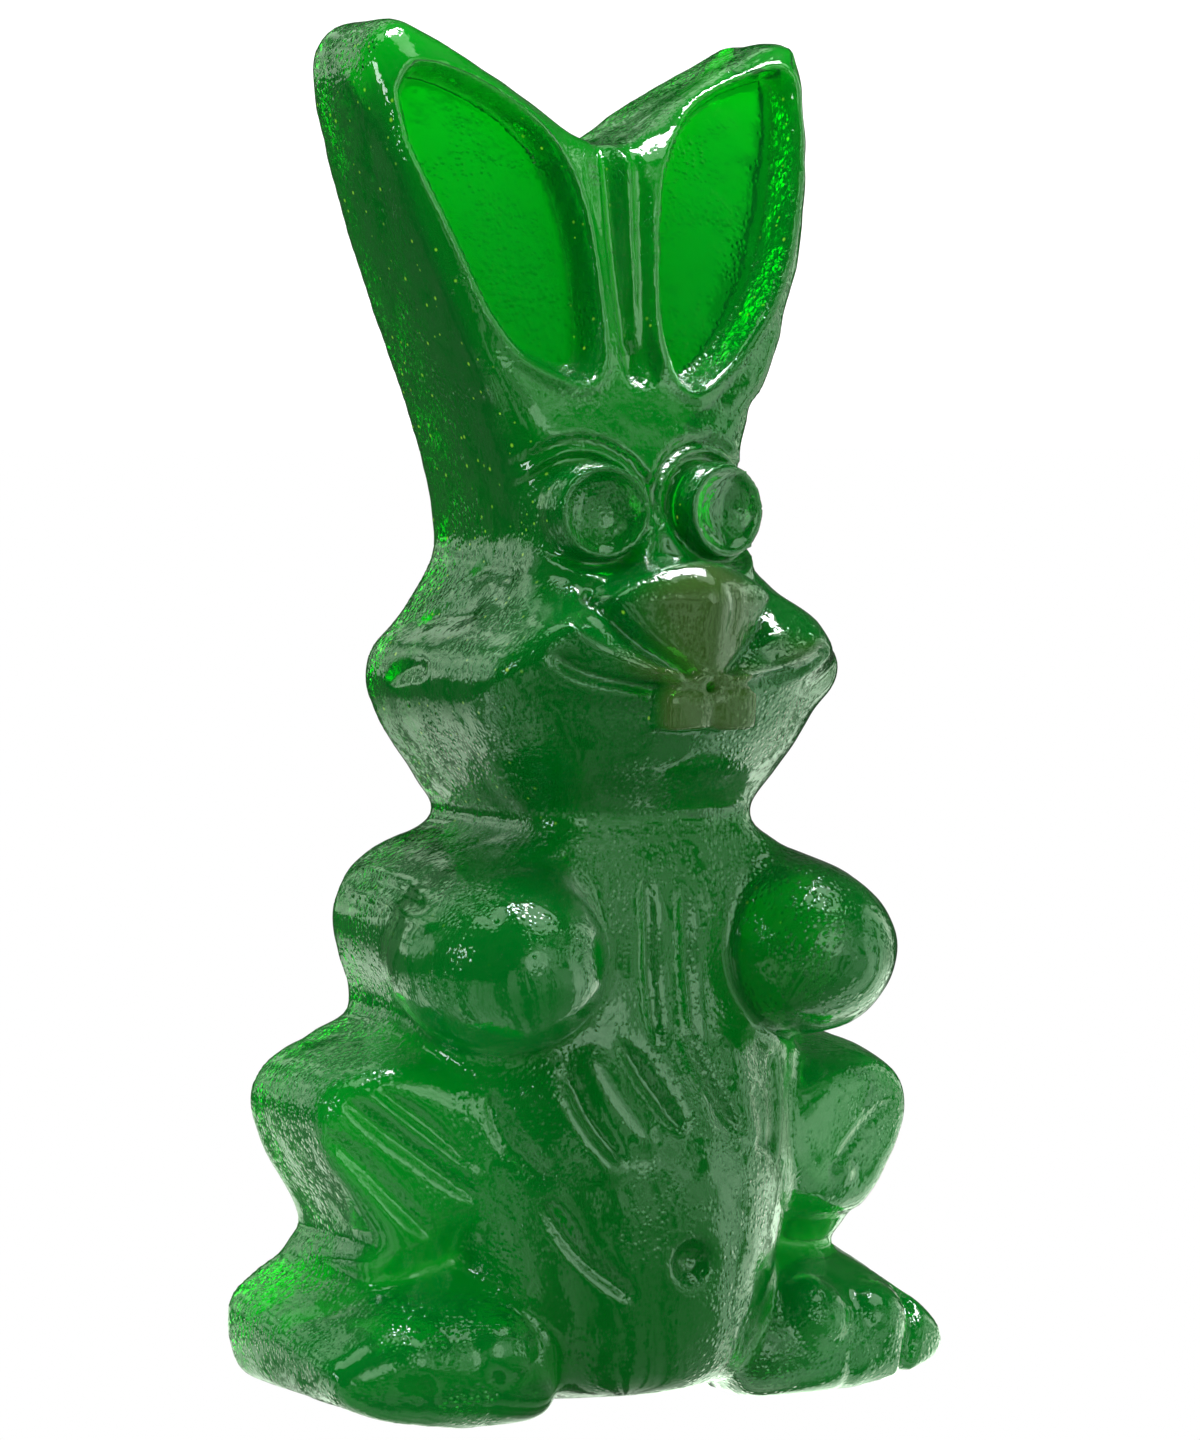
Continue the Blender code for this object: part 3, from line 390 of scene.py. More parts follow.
@dataclass(frozen=True)
class Ears:
    """The leaf-shaped hollow in each ear, with its thin raised rim, and the folds between the ears."""

    depth: Point2 = (2.3, 2.2)   # of the hollows, at their foot and at their tip
    tall: Point2 = (68.0, 84.0)  # z of those
    wall: float = 0.75           # how far the wall of the hollow leans, as a width
    rim_height: float = 0.35
    rim_width: float = 0.42
    rim_from: float = -0.2       # the rim starts this far inside the hollow's edge
    heights: Point2 = (2.0, 5.0)         # the hollows end between these, towards the back
    left: Line = (
        (-14.6, 84.8), (-13.6, 86.3), (-11.4, 86.2), (-9.1, 85.4), (-7.0, 84.3), (-5.2, 82.9), (-3.9, 81.1),
        (-2.7, 78.0), (-2.1, 74.0), (-2.0, 69.5), (-2.5, 67.1), (-3.8, 66.4), (-6.0, 67.2), (-8.0, 68.4),
        (-9.9, 71.0), (-11.2, 74.0), (-12.7, 77.6), (-14.2, 81.4),
    )
    right: Line = (
        (3.0, 75.5), (3.7, 79.1), (4.8, 81.5), (6.6, 83.8), (9.1, 85.5), (12.2, 86.7), (13.9, 87.0),
        (14.6, 85.8), (14.5, 83.8), (14.1, 81.0), (13.2, 77.6), (12.2, 74.6), (10.6, 71.4), (8.4, 68.6),
        (6.4, 66.8), (4.8, 65.9), (3.5, 66.4), (2.8, 69.0), (2.7, 72.0),
    )
    folds: Strokes = (
        Stroke(((0.2, 83.0), (0.1, 76.0), (0.3, 70.0), (0.5, 66.4)), 0.75, 1.5),
        Stroke(((2.0, 81.0), (1.6, 75.0), (1.4, 69.0), (1.5, 66.2)), 0.5, 0.6),
        Stroke(((-1.6, 81.0), (-1.3, 75.0), (-1.0, 69.0)), 0.45, 0.5),
        Stroke(((1.1, 81.5), (0.9, 75.0), (0.9, 68.6)), 0.4, -0.5),
    )

    def sunk(self, grid: Lattice) -> Array:
        """How far both hollows sink the front, less the rim that stands round them."""
        total = 0.0
        depth = np.interp(grid.z, self.tall, self.depth)
        for panel in (self.left, self.right):
            edge = loop_field(grid, smooth_curve((*panel, panel[0])))
            total = total + depth * smooth_step(0.0, -self.wall, edge)
            rim = ring(edge, self.rim_width, self.rim_width, self.rim_height)
            total = total - rim * (edge > self.rim_from)
        return total * smooth_step(*self.heights, grid.h)


@dataclass(frozen=True)
class Eyes:
    """Two round eyes that stand out of the face, each in a socket with folds round it."""

    place: Point2 = (4.45, 58.05)
    top: float = 19.0            # height of the rim
    turn: float = 0.21           # the discs face outward: their fall across, per mm
    radius: float = 2.95         # outside of the rim
    cone: float = 0.16           # how much a disc widens per mm below its rim
    drum: float = 1.8            # down to this far below it
    taper: float = 0.35          # and how much it narrows per mm after that
    wall: float = 0.2            # roundness of the rim
    foot: float = 11.0           # the drums end at this height, inside the head
    dish: Point3 = (2.45, 1.2, 0.45)     # radius, depth and power of the dish inside the rim
    line: Point3 = (1.6, 0.3, 0.16)      # the low ring in the dish: radius, width and depth
    socket: Point3 = (3.4, 0.3, 0.65)    # the same of the socket
    heights: Point2 = (10.0, 13.0)       # the socket and its folds come in between these
    brow: Point2 = (-0.6, 2.0)   # above the eye's middle: the folds below end, those above are full
    brow_slant: float = 0.35
    step_down: float = 0.45      # how far the forehead steps down into the socket
    step_radius: Point2 = (5.5, 5.1)     # from where to where it does
    folds_above: tuple[Point3, ...] = ((3.95, 0.3, 0.6), (4.45, 0.28, -0.35), (4.95, 0.32, 0.65))
    folds_below: tuple[Point3, ...] = ((4.2, 0.34, 0.5),)
    fillet: float = 0.3          # what joins the discs on

    def away(self, grid: Lattice) -> Array:
        """Distance from the middle of the nearer eye, over the front."""
        return np.sqrt((np.abs(grid.x) - self.place[0]) ** 2 + (grid.z - self.place[1]) ** 2)

    def rings(self, grid: Lattice) -> Array:
        """How far the face sinks round each eye: the socket, the step under the brow, less the folds."""
        away = self.away(grid)
        slant = self.brow_slant * (np.abs(grid.x) - self.place[0])
        above = smooth_step(*self.brow, grid.z - self.place[1] - slant)
        sunk = ring(away, *self.socket)
        sunk = sunk + self.step_down * above * smooth_step(*self.step_radius, away)
        for fold in self.folds_above:
            sunk = sunk - above * ring(away, *fold)
        for fold in self.folds_below:
            sunk = sunk - (1.0 - above) * ring(away, *fold)
        return smooth_step(*self.heights, grid.h) * sunk

    def field(self, grid: Lattice) -> Array:
        """The discs, dished inside their rims."""
        away = self.away(grid)
        front = self.top - self.turn * (np.abs(grid.x) - self.place[0])
        radius, depth, power = self.dish
        dish = depth * np.clip(1.0 - (away / radius) ** 2, 0.0, 1.0) ** power
        behind = np.clip(front - grid.h, 0.0, None)
        wide = self.radius + self.cone * np.minimum(behind, self.drum)
        wide = wide - self.taper * np.clip(behind - self.drum, 0.0, None)
        disc = trim(away - wide, grid.h - front + dish - ring(away, *self.line), self.wall)
        return trim(disc, self.foot - grid.h, self.wall)


@dataclass(frozen=True)
class Snout:
    """Muzzle, nose, front teeth and mouth.

    Attributes:
        lip: Height of the upper lip at its middle, its fall across (per mm squared) and up (per mm).
        mouth: The mouth line on one half: (x, z).
        crest: z of the muzzle's upper edge at the middle, and its fall per mm across.
        ridge: The nose's front line: (z, height).
        slope: Fall of the nose's two facets, per mm, inside its outline and outside it.
        kite: Half width of the nose's outline: (z, x).
        arch: z of the top of the nose, and its fall per mm squared.
        under: How far above the mouth line the nose's underside starts, and its slant.
        scales: What brings the slopes of the muzzle's and the nose's fields near 1.
        rounds: Roundness of the muzzle's upper and lower edge, and the same for the nose.
        foot: The height inside the head where muzzle, nose and teeth end, and how round that is.
        fillets: What joins muzzle, nose and teeth on.
    """

    lip: Point3 = (24.2, 0.04, 0.28)
    mouth: Line = ((0.0, 47.1), (3.2, 47.25), (6.2, 47.7), (8.2, 48.4), (9.2, 49.1))
    crest: Point2 = (52.9, 0.16)
    ridge: Line = (
        (47.0, 24.3), (47.5, 24.55), (48.8, 24.95), (50.1, 25.2), (51.7, 25.5), (52.6, 25.6), (53.6, 25.2),
        (54.4, 24.4), (55.2, 23.4))
    ridge_round: float = 0.35
    slope: Point2 = (0.6, 1.5)
    kite: Line = (
        (47.0, 0.3), (48.0, 1.5), (49.5, 3.2), (51.0, 4.7), (52.4, 5.7), (53.4, 6.0), (55.0, 5.9))
    arch: Point2 = (55.0, 0.066)
    under: Point2 = (0.3, 0.5)
    scales: Point2 = (0.85, 0.8)
    rounds: tuple[Point2, Point2] = ((0.9, 0.4), (0.6, 0.5))
    foot: Point2 = (15.0, 0.5)
    fillets: Point3 = (0.5, 0.35, 0.25)
    tooth_width: float = 3.25
    tooth_span: Point2 = (44.4, 48.0)    # z
    tooth_top: float = 24.9              # height of its front at the foot
    tooth_lean: float = 0.1              # its rise per mm up
    tooth_bow: float = 0.1               # its fall to each side, per mm squared
    tooth_edges: Point2 = (0.45, 0.35)   # how round its outline and its front edge are
    puffs: Forms = (
        (Ball((11.6, 13.6, 47.9), (3.6, 5.6, 3.6)), 1.2),
        (Ball((8.6, 17.2, 50.2), (3.4, 4.6, 2.6)), 1.5),
        (Ball((7.2, 19.0, 49.2), (4.2, 4.6, 2.3), both=False), 0.9),
    )
    lines: Strokes = (
        Stroke(mouth, 0.4, 0.55, mirror=True),
        Stroke(((-3.7, 46.4), (-6.4, 46.9), (-8.8, 47.6), (-10.2, 48.6)), 0.5, -0.4),
        Stroke(((6.2, 52.6), (5.0, 50.8), (3.4, 49.2), (1.4, 47.9)), 0.42, 0.75, mirror=True),
        Stroke(((-8.6, 50.9), (-6.9, 49.8), (-4.6, 48.6), (-2.6, 47.9)), 0.75, -0.6),
        Stroke(((3.6, 48.6), (6.0, 49.4), (8.4, 50.4)), 0.4, 0.3),
        Stroke(((1.2, 53.4), (1.5, 52.0), (1.1, 50.4)), 0.3, 0.25),
    )

    def cut_off(self, front: Array, above: Array, below: Array, rounds: Point2, grid: Lattice) -> Array:
        """A front that ends above, below and inside the head."""
        behind = trim(below, self.foot[0] - grid.h, self.foot[1])
        return trim(trim(front, above, rounds[0]), behind, rounds[1])

    def muzzle(self, grid: Lattice) -> Array:
        """The upper lip and muzzle: a front that falls across and upwards, between mouth line and crest."""
        across = np.abs(grid.x)
        lowest = read_off(smooth_curve(self.mouth), across)
        rise = np.clip(grid.z - lowest, 0.0, None)
        front = (grid.h - (self.lip[0] - self.lip[1] * grid.x ** 2 - self.lip[2] * rise)) * self.scales[0]
        above = grid.z - (self.crest[0] - self.crest[1] * across)
        return self.cut_off(front, above, lowest - grid.z, self.rounds[0], grid)

    def nose(self, grid: Lattice) -> Array:
        """A wedge whose facets fall evenly from its ridge, inside a kite with an arched top."""
        across = np.sqrt(grid.x ** 2 + self.ridge_round ** 2) - self.ridge_round
        ridge = read_off(smooth_curve(self.ridge), grid.z)
        outside = np.clip(np.abs(grid.x) - read_off(smooth_curve(self.kite), grid.z), 0.0, None)
        facets = (grid.h - ridge + self.slope[0] * across + self.slope[1] * outside) * self.scales[1]
        above = grid.z - (self.arch[0] - self.arch[1] * grid.x ** 2)
        under = self.mouth[0][1] + self.under[0] - grid.z + self.under[1] * (grid.h - self.ridge[1][1])
        return self.cut_off(facets, above, under, self.rounds[1], grid)

    def teeth(self, grid: Lattice) -> Array:
        """Two front teeth, side by side, each with its own round front."""
        middle = np.abs(np.abs(grid.x) - self.tooth_width / 2)
        across = middle - self.tooth_width / 2
        foot, top = self.tooth_span
        tall = np.maximum(foot - grid.z, grid.z - top)
        front = grid.h - self.tooth_top - self.tooth_lean * (grid.z - foot) + self.tooth_bow * middle ** 2
        outline, edge = self.tooth_edges
        return trim(trim(trim(across, tall, outline), front, edge), self.foot[0] - grid.h, self.foot[1])


@dataclass(frozen=True)
class Arms:
    """Shoulders, and the arms that reach forward as one egg each."""

    shoulders: Forms = (
        (Limb((11.3, 3.0, 31.4), (10.3, 18.7, 29.9), 6.0, 5.3), 1.2),
        (Ball((9.0, 8.0, 34.0), (5.8, 11.0, 3.4)), 2.5),
    )
    paws: Forms = (
        (Limb((9.6, 1.0, 31.2), (10.2, 12.0, 30.4), 5.0, 5.2), 0.8),
        (Ball((10.9, 15.8, 29.6), (6.2, 9.0, 5.7)), 1.0),
    )
    creases: Strokes = on_both_sides(
        Stroke(((2.2, 34.9), (9.0, 34.5), (15.5, 33.8)), 0.26, -0.3, Face.LEFT),
        Stroke(((2.2, 33.5), (9.0, 33.1), (17.8, 32.2)), 0.26, -0.32, Face.LEFT),
    )


@dataclass(frozen=True)
class Legs:
    """Thighs with their folds, and the feet with their toes."""

    thighs: Forms = (
        (Ball((-15.0, 4.6, 17.3), (8.2, 13.0, 7.3), False, ((-12.5, 15.2, 18.0), (-0.46, 1.0, -0.06))), 1.2),
        (Ball((15.0, 5.0, 16.9), (8.8, 15.5, 6.9), False, ((12.5, 17.2, 18.0), (0.24, 1.0, -0.06))), 1.2),
        (Limb((15.8, 1.0, 12.5), (14.8, 9.5, 11.4), 3.8, 3.4), 1.8),
    )
    knuckles: Forms = (
        (Ball((-11.2, 15.9, 4.8), (2.7, 3.0, 2.7), both=False), 0.5),
        (Ball((-16.4, 15.2, 4.4), (2.7, 3.0, 2.5), both=False), 0.5),
        (Ball((12.4, 15.8, 4.9), (2.6, 3.0, 2.8), both=False), 0.5),
        (Ball((17.3, 15.1, 4.4), (2.6, 3.0, 2.6), both=False), 0.5),
    )
    folds: Strokes = (
        Stroke(((-19.2, 20.6), (-17.2, 18.9), (-14.8, 16.9), (-11.9, 14.6)), 0.4, 0.7),
        Stroke(((-18.6, 21.5), (-16.4, 19.6), (-14.0, 17.6), (-12.0, 15.9)), 0.35, -0.35),
        Stroke(((-17.2, 21.2), (-14.8, 19.3), (-12.6, 16.9)), 0.35, 0.5),
        Stroke(((-20.0, 18.4), (-17.4, 15.6), (-14.6, 12.4)), 0.5, 0.7),
        Stroke(((19.1, 18.7), (17.4, 18.1), (15.6, 16.7), (14.1, 15.2)), 0.25, 0.35),
        Stroke(((14.4, 14.9), (15.2, 14.3)), 0.6, -0.4),
    )
    toes: Strokes = (
        Stroke(((-12.0, 3.8), (-12.1, 2.6), (-12.1, 0.0)), 0.3, 0.3),
        Stroke(((-16.8, 4.0), (-16.9, 2.6), (-16.8, 0.0)), 0.35, 0.25),
        Stroke(((14.6, 3.0), (14.5, 1.8), (14.6, 0.0)), 0.45, 0.4),
        Stroke(((20.3, 6.6), (20.4, 4.8), (19.5, 2.4), (19.3, 0.0)), 0.45, 0.95),
    )
    crest_x: Point2 = (12.2, 12.6)   # x of the highest line along the left and the right foot
    crest: Point2 = (12.3, 8.4)      # z of that line at the back and at the toes
    fall: Point2 = (0.117, 1.6)      # fall to each side: factor and power of the distance
    span: Point2 = (6.8, 24.0)       # x
    length: float = 18.2             # height of the toes in front of the back
    toe_face: Point2 = (3.9, 2.9)    # the toes' front stands upright up to here, left and right
    toe_foot: float = 2.2            # and curls under below this
    toe_curl: Point2 = (0.16, 0.2)   # how fast it leans back above and curls under below, per mm squared
    toe_bow: float = 0.022           # its fall to each side, per mm squared
    top_scale: float = 0.85          # brings the slope of the top's field near 1
    foot_round: Point2 = (1.4, 2.2)  # roundness of the toes' upper edge and of the sides
    fillet: float = 1.2              # what joins the feet on

    def feet(self, grid: Lattice) -> Array:
        """A foot: its top falls from one line to each side, its toes stand upright and curl under."""
        across = np.abs(grid.x)
        line, face = (np.where(grid.x < 0.0, *pair) for pair in (self.crest_x, self.toe_face))
        crest = np.interp(grid.h, (0.0, self.length), self.crest)
        top = (grid.z - crest + self.fall[0] * np.abs(across - line) ** self.fall[1]) * self.top_scale
        sides = np.maximum(self.span[0] - across, across - self.span[1])
        lean = self.toe_curl[0] * np.clip(grid.z - face, 0.0, None) ** 2
        lean = lean + self.toe_curl[1] * np.clip(self.toe_foot - grid.z, 0.0, None) ** 2
        toes = grid.h - self.length + self.toe_bow * (across - line) ** 2 + lean
        return trim(trim(top, toes, self.foot_round[0]), sides, self.foot_round[1])


@dataclass(frozen=True)
class Fur:
    """Grooves of the fur, the whisker creases and the navel."""

    front: Strokes = (
        Stroke(((-1.4, 34.5), (-1.5, 30.0), (-1.3, 24.2)), 0.4, 0.5),
        Stroke(((1.3, 33.5), (1.3, 29.0), (1.5, 24.5)), 0.4, 0.5),
        Stroke(((-7.1, 22.6), (-6.2, 19.6), (-4.8, 17.3)), 0.45, 0.6),
        Stroke(((-3.6, 24.2), (-2.4, 21.8), (-0.7, 19.0)), 0.45, 0.6),
        Stroke(((-8.4, 21.6), (-7.0, 19.2), (-5.5, 16.4)), 1.3, -0.4),
        Stroke(((-5.8, 23.4), (-4.7, 21.0), (-3.0, 18.4)), 1.3, -0.45),
        Stroke(((-1.3, 24.2), (-0.2, 21.8), (1.5, 19.2)), 1.3, -0.4),
        Stroke(((4.3, 23.8), (5.1, 21.4), (5.6, 18.2)), 1.4, -0.45),
        Stroke(((0.7, 24.7), (2.0, 21.6), (3.6, 18.6)), 0.45, 0.6),
        Stroke(((5.6, 20.9), (6.1, 18.9), (6.1, 17.0)), 0.45, 0.5),
        Stroke(((8.4, 22.6), (8.1, 19.8), (7.2, 16.5)), 0.45, 0.6),
        Stroke(((-8.6, 14.2), (-6.6, 11.0), (-4.0, 8.6)), 0.45, 0.6),
        Stroke(((-11.0, 20.8), (-10.2, 18.0), (-8.7, 16.0)), 0.5, 0.6),
    )
    whiskers: Strokes = on_both_sides(
        Stroke(((7.5, 54.0), (10.0, 54.3), (13.0, 54.0)), 0.5, 0.22, Face.LEFT),
        Stroke(((5.0, 50.9), (8.0, 51.4), (11.0, 51.4)), 0.6, 0.25, Face.LEFT),
        Stroke(((4.5, 47.2), (6.5, 47.8), (9.0, 47.9)), 0.6, 0.35, Face.LEFT),
    )
    navel: Ball = Ball((0.1, 22.9, 10.4), (1.6, 2.0, 1.6), both=False)
    navel_round: float = 0.5


@dataclass(frozen=True)
class Ripple:
    """The slight unevenness of a cast jelly skin: a few plane waves in seeded directions.

    Attributes:
        swell: Height of the waves in millimetres.
        shortest: The shortest wave.
        longest: The longest wave.
        count: How many waves are added.
        seed: The seed of their directions.
    """

    swell: float = 0.025
    shortest: float = 1.8
    longest: float = 6.0
    count: int = 14
    seed: int = 7

    def field(self, grid: Lattice) -> Array:
        """The sum of sines of the distance along each direction."""
        random = np.random.default_rng(self.seed)
        total = 0.0
        for _ in range(self.count):
            way = random.normal(size=3)
            way *= 2.0 * math.pi / np.linalg.norm(way) / random.uniform(self.shortest, self.longest)
            phase = random.uniform(0.0, 2.0 * math.pi)
            total = total + np.sin(way[0] * grid.x + way[1] * grid.h + way[2] * grid.z + phase)
        return self.swell * total / math.sqrt(self.count / 2.0)


@dataclass(frozen=True)
class Casting:
    """The whole rabbit as one closed skin.

    Attributes:
        step: Lattice spacing in millimetres.
    """

    step: float = 0.368
    relax_rounds: int = 2
    walls: Walls = Walls()
    trunk: Trunk = Trunk()
    ears: Ears = Ears()
    eyes: Eyes = Eyes()
    snout: Snout = Snout()
    arms: Arms = Arms()
    legs: Legs = Legs()
    fur: Fur = Fur()
    ripple: Ripple = Ripple()

    def distance(self, grid: Lattice) -> Array:
        """The casting's field: minus inside, in about millimetres."""
        legs, snout = self.legs, self.snout
        body = joined(self.trunk.field(grid), self.arms.shoulders + legs.thighs + snout.puffs, grid)
        body = join(body, joined(legs.feet(grid), legs.knuckles, grid), legs.fillet)
        body = body + self.eyes.rings(grid)
        for form, fillet in zip((snout.muzzle, snout.nose, snout.teeth), snout.fillets):
            body = join(body, form(grid), fillet)
        body = carved(body, self.ears.folds + snout.lines + self.fur.front + legs.folds + legs.toes, grid)
        body = trim(body, -self.fur.navel.field(grid), self.fur.navel_round)
        body = body + self.ears.sunk(grid)
        # nothing hangs over: what stands in front of a place fills it to the back
        body = np.minimum.accumulate(body[:, ::-1, :], axis=1)[:, ::-1, :]
        solid = trim(self.walls.field(grid), body, self.walls.rounding(grid))
        solid = joined(solid, self.arms.paws, grid)
        solid = carved(solid, self.arms.creases + self.fur.whiskers, grid)
        solid = join(solid, self.eyes.field(grid), self.eyes.fillet)
        solid = solid + self.ripple.field(grid)
        solid = trim(solid, -grid.h, self.walls.back_round)
        return trim(solid, -grid.z, self.walls.base_round)

    def build(self, name: str) -> bpy.types.Object:
        """The casting as an object with one closed mesh."""
        half_width = max(x for x, _ in self.walls.side)
        tall = max(z for _, z in self.walls.ear_left)
        grid = Lattice.around(half_width, max(height for _, height in self.snout.ridge), tall, self.step)
        distance = without_saddles(self.distance(grid))
        points, faces = surface_of(distance, grid)
        points = relaxed(points, faces, distance, grid, self.relax_rounds)
        _, slope = sampled(distance, grid, points)
        normals = slope / np.linalg.norm(slope, axis=1, keepdims=True) * (1.0, -1.0, 1.0)
        places = MM * np.stack([points[:, 0] - MIDDLE_X, BACK_Y - points[:, 1], points[:, 2]], axis=1)
        mesh = bpy.data.meshes.new(name)
        mesh.from_pydata(places.tolist(), [], faces.tolist())
        mesh.shade_smooth()
        mesh.normals_split_custom_set_from_vertices(normals.tolist())
        LOG.info("%s: %d faces", name, len(faces))
        return placed(name, mesh)


def placed(name: str, data: bpy.types.ID) -> bpy.types.Object:
    """A new object in the scene, with this mesh, light or camera."""
    thing = bpy.data.objects.new(name, data)
    bpy.context.scene.collection.objects.link(thing)
    return thing


def without_saddles(distance: Array, rounds: int = 8, depth: float = 0.05) -> Array:
    """The field with material added where the surface would touch itself along a line.

    Two inside corners across a lattice square from two outside ones leave it open which of them join:
    the outside corner nearer the surface is moved inside, to this depth.
    """
    distance = distance.copy()
    corners = ((0, 0), (1, 0), (1, 1), (0, 1))
    for _ in range(rounds):
        found = 0
        for first, second in ((0, 1), (1, 2), (0, 2)):
            spans = []
            for low, high in corners:
                cut = [slice(None)] * 3
                cut[first] = slice(low, distance.shape[first] - 1 + low)
                cut[second] = slice(high, distance.shape[second] - 1 + high)
                spans.append(distance[tuple(cut)] < 0.0)
            crossed = (spans[0] == spans[2]) & (spans[1] == spans[3]) & (spans[0] != spans[1])
            for place in np.argwhere(crossed):
                outer = []
                for low, high in corners:
                    corner = place.copy()
                    corner[first] += low
                    corner[second] += high
                    if distance[tuple(corner)] >= 0.0:
                        outer.append(tuple(corner))
                if outer:
                    distance[min(outer, key=lambda corner: distance[corner])] = -depth
                    found += 1
        if not found:
            break
    return distance


def surface_of(distance: Array, grid: Lattice) -> tuple[Array, Array]:
    """The surface where the field is zero, as one point in each cell that it crosses.

    Args:
        distance: The values on the lattice.
        grid: The lattice.

    Returns:
        The points (x, h, z), and the four-sided faces between them, facing out once h runs to -Y.
    """
    inside = distance < 0.0
    cells = tuple(size - 1 for size in distance.shape)
    total = np.zeros((int(np.prod(cells)), 3))
    count = np.zeros(int(np.prod(cells)))
    faces = []
    for axis in range(3):
        low = [slice(None)] * 3
        high = [slice(None)] * 3
        low[axis], high[axis] = slice(0, -1), slice(1, None)
        changes = np.argwhere(inside[tuple(low)] != inside[tuple(high)])
        ends = changes.copy()
        ends[:, axis] += 1
        near, far = distance[tuple(changes.T)], distance[tuple(ends.T)]
        point = changes.astype(float)
        point[:, axis] += near / (near - far)
        others = [(axis + 1) % 3, (axis + 2) % 3]
        corners = []
        for first, second in ((0, 0), (-1, 0), (-1, -1), (0, -1)):
            cell = changes.copy()
            cell[:, others[0]] += first
            cell[:, others[1]] += second
            number = np.ravel_multi_index(tuple(cell.T), cells)
            np.add.at(total, number, point)
            np.add.at(count, number, 1.0)
            corners.append(number)
        quads = np.stack(corners, axis=1)
        turned = ~inside[tuple(ends.T)]
        quads[turned] = quads[turned][:, ::-1]
        faces.append(quads)
    used = np.flatnonzero(count)
    order = np.full(count.shape, -1)
    order[used] = np.arange(len(used))
    points = grid.corner + grid.step * total[used] / count[used][:, None]
    return points, order[np.vstack(faces)]


def sampled(distance: Array, grid: Lattice, points: Array) -> tuple[Array, Array]:
    """The field and its slope at points, by the trilinear mix of the eight corners round each.

    Args:
        distance: The values on the lattice.
        grid: The lattice.
        points: Places (x, h, z).

    Returns:
        The value and the slope (by x, h, z) at each point.
    """
    place = (points - grid.corner) / grid.step
    cell = np.clip(np.floor(place).astype(int), 1, np.array(distance.shape) - 3)
    part = place - cell
    value = np.zeros(len(points))
    slope = np.zeros((len(points), 3))
    for corner in np.ndindex(2, 2, 2):
        share = np.prod(np.where(corner, part, 1.0 - part), axis=1)
        at = cell + corner
        value += share * distance[tuple(at.T)]
        for axis in range(3):
            one = np.eye(3, dtype=int)[axis]
            rise = distance[tuple((at + one).T)] - distance[tuple((at - one).T)]
            slope[:, axis] += share * rise / (2.0 * grid.step)
    return value, slope


def relaxed(points: Array, faces: Array, distance: Array, grid: Lattice, rounds: int) -> Array:
    """The points evened out: each moves half way to its neighbours' mean, then back onto the surface."""
    reach = 0.3 * grid.step      # the furthest that a point moves back in one round
    flattest = 0.1               # the least squared slope that is reckoned with
    pairs = np.vstack([faces[:, [side, (side + 1) % 4]] for side in range(4)])
    for _ in range(rounds):
        total = np.zeros_like(points)
        count = np.zeros(len(points))
        np.add.at(total, pairs[:, 0], points[pairs[:, 1]])
        np.add.at(total, pairs[:, 1], points[pairs[:, 0]])
        np.add.at(count, pairs.ravel(), 1.0)
        points = 0.5 * points + 0.5 * total / count[:, None]
        value, slope = sampled(distance, grid, points)
        move = value[:, None] * slope / np.maximum((slope ** 2).sum(axis=1), flattest)[:, None]
        points = points - np.clip(move, -reach, reach)
    return points


# ------------------------------------------------------------------ finishes
def node_of(tree: Tree, kind: str, inputs: dict[str | int, Socket | float | tuple[float, ...]],
            **settings: str | bool) -> bpy.types.Node:
    """A new shader node.

    Args:
        tree: Where it goes.
        kind: Its kind, without the word in front that all shader nodes share.
        inputs: Its inputs by name or number, each a value or a socket that is linked to it.
        settings: Its other settings by name.

    Returns:
        The node.
    """
    node = tree.nodes.new("ShaderNode" + kind)
    for name, setting in settings.items():
        setattr(node, name, setting)
    for name, value in inputs.items():
        if isinstance(value, bpy.types.NodeSocket):
            tree.links.new(value, node.inputs[name])
        else:
            node.inputs[name].default_value = value
    return node


def maths(tree: Tree, kind: str, *values: Socket | float) -> Socket:
    """One step of arithmetic on values or sockets."""
    return node_of(tree, "Math", dict(enumerate(values)), operation=kind).outputs["Value"]


def mixed(tree: Tree, share: Socket, first: Point3 | Socket, second: Point3 | Socket) -> Socket:
    """A colour between two, each of them a plain colour or a socket."""
    ends = ((*colour, 1.0) if isinstance(colour, tuple) else colour for colour in (first, second))
    inputs = {"Factor": share, **dict(zip("AB", ends))}
    return node_of(tree, "Mix", inputs, data_type="RGBA").outputs["Result"]


def soft_range(tree: Tree, value: Socket, zero: float, one: float) -> Socket:
    """0 where the value is zero, 1 where it is one, and a smooth step between."""
    turned = float(zero > one)
    inputs = {"Value": value, "From Min": min(zero, one), "From Max": max(zero, one),
              "To Min": turned, "To Max": 1.0 - turned}
    return node_of(tree, "MapRange", inputs, interpolation_type="SMOOTHSTEP").outputs["Result"]


def noise(tree: Tree, place: Socket, scale: float, detail: float) -> Socket:
    """Soft random waves, between 0 and 1."""
    return node_of(tree, "TexNoise", {"Scale": scale, "Detail": detail, "Vector": place}).outputs["Fac"]


def parts_of(tree: Tree, vector: Socket) -> tuple[Socket, ...]:
    """The x, y and z of a vector."""
    return tuple(node_of(tree, "SeparateXYZ", {"Vector": vector}).outputs)


def zone(tree: Tree, *limits: tuple[Socket, Point2]) -> Socket:
    """1 where every value is past its range, and softly down to 0 where one is short of it."""
    first, *others = (soft_range(tree, value, *span) for value, span in limits)
    for share in others:
        first = maths(tree, "MULTIPLY", first, share)
    return first


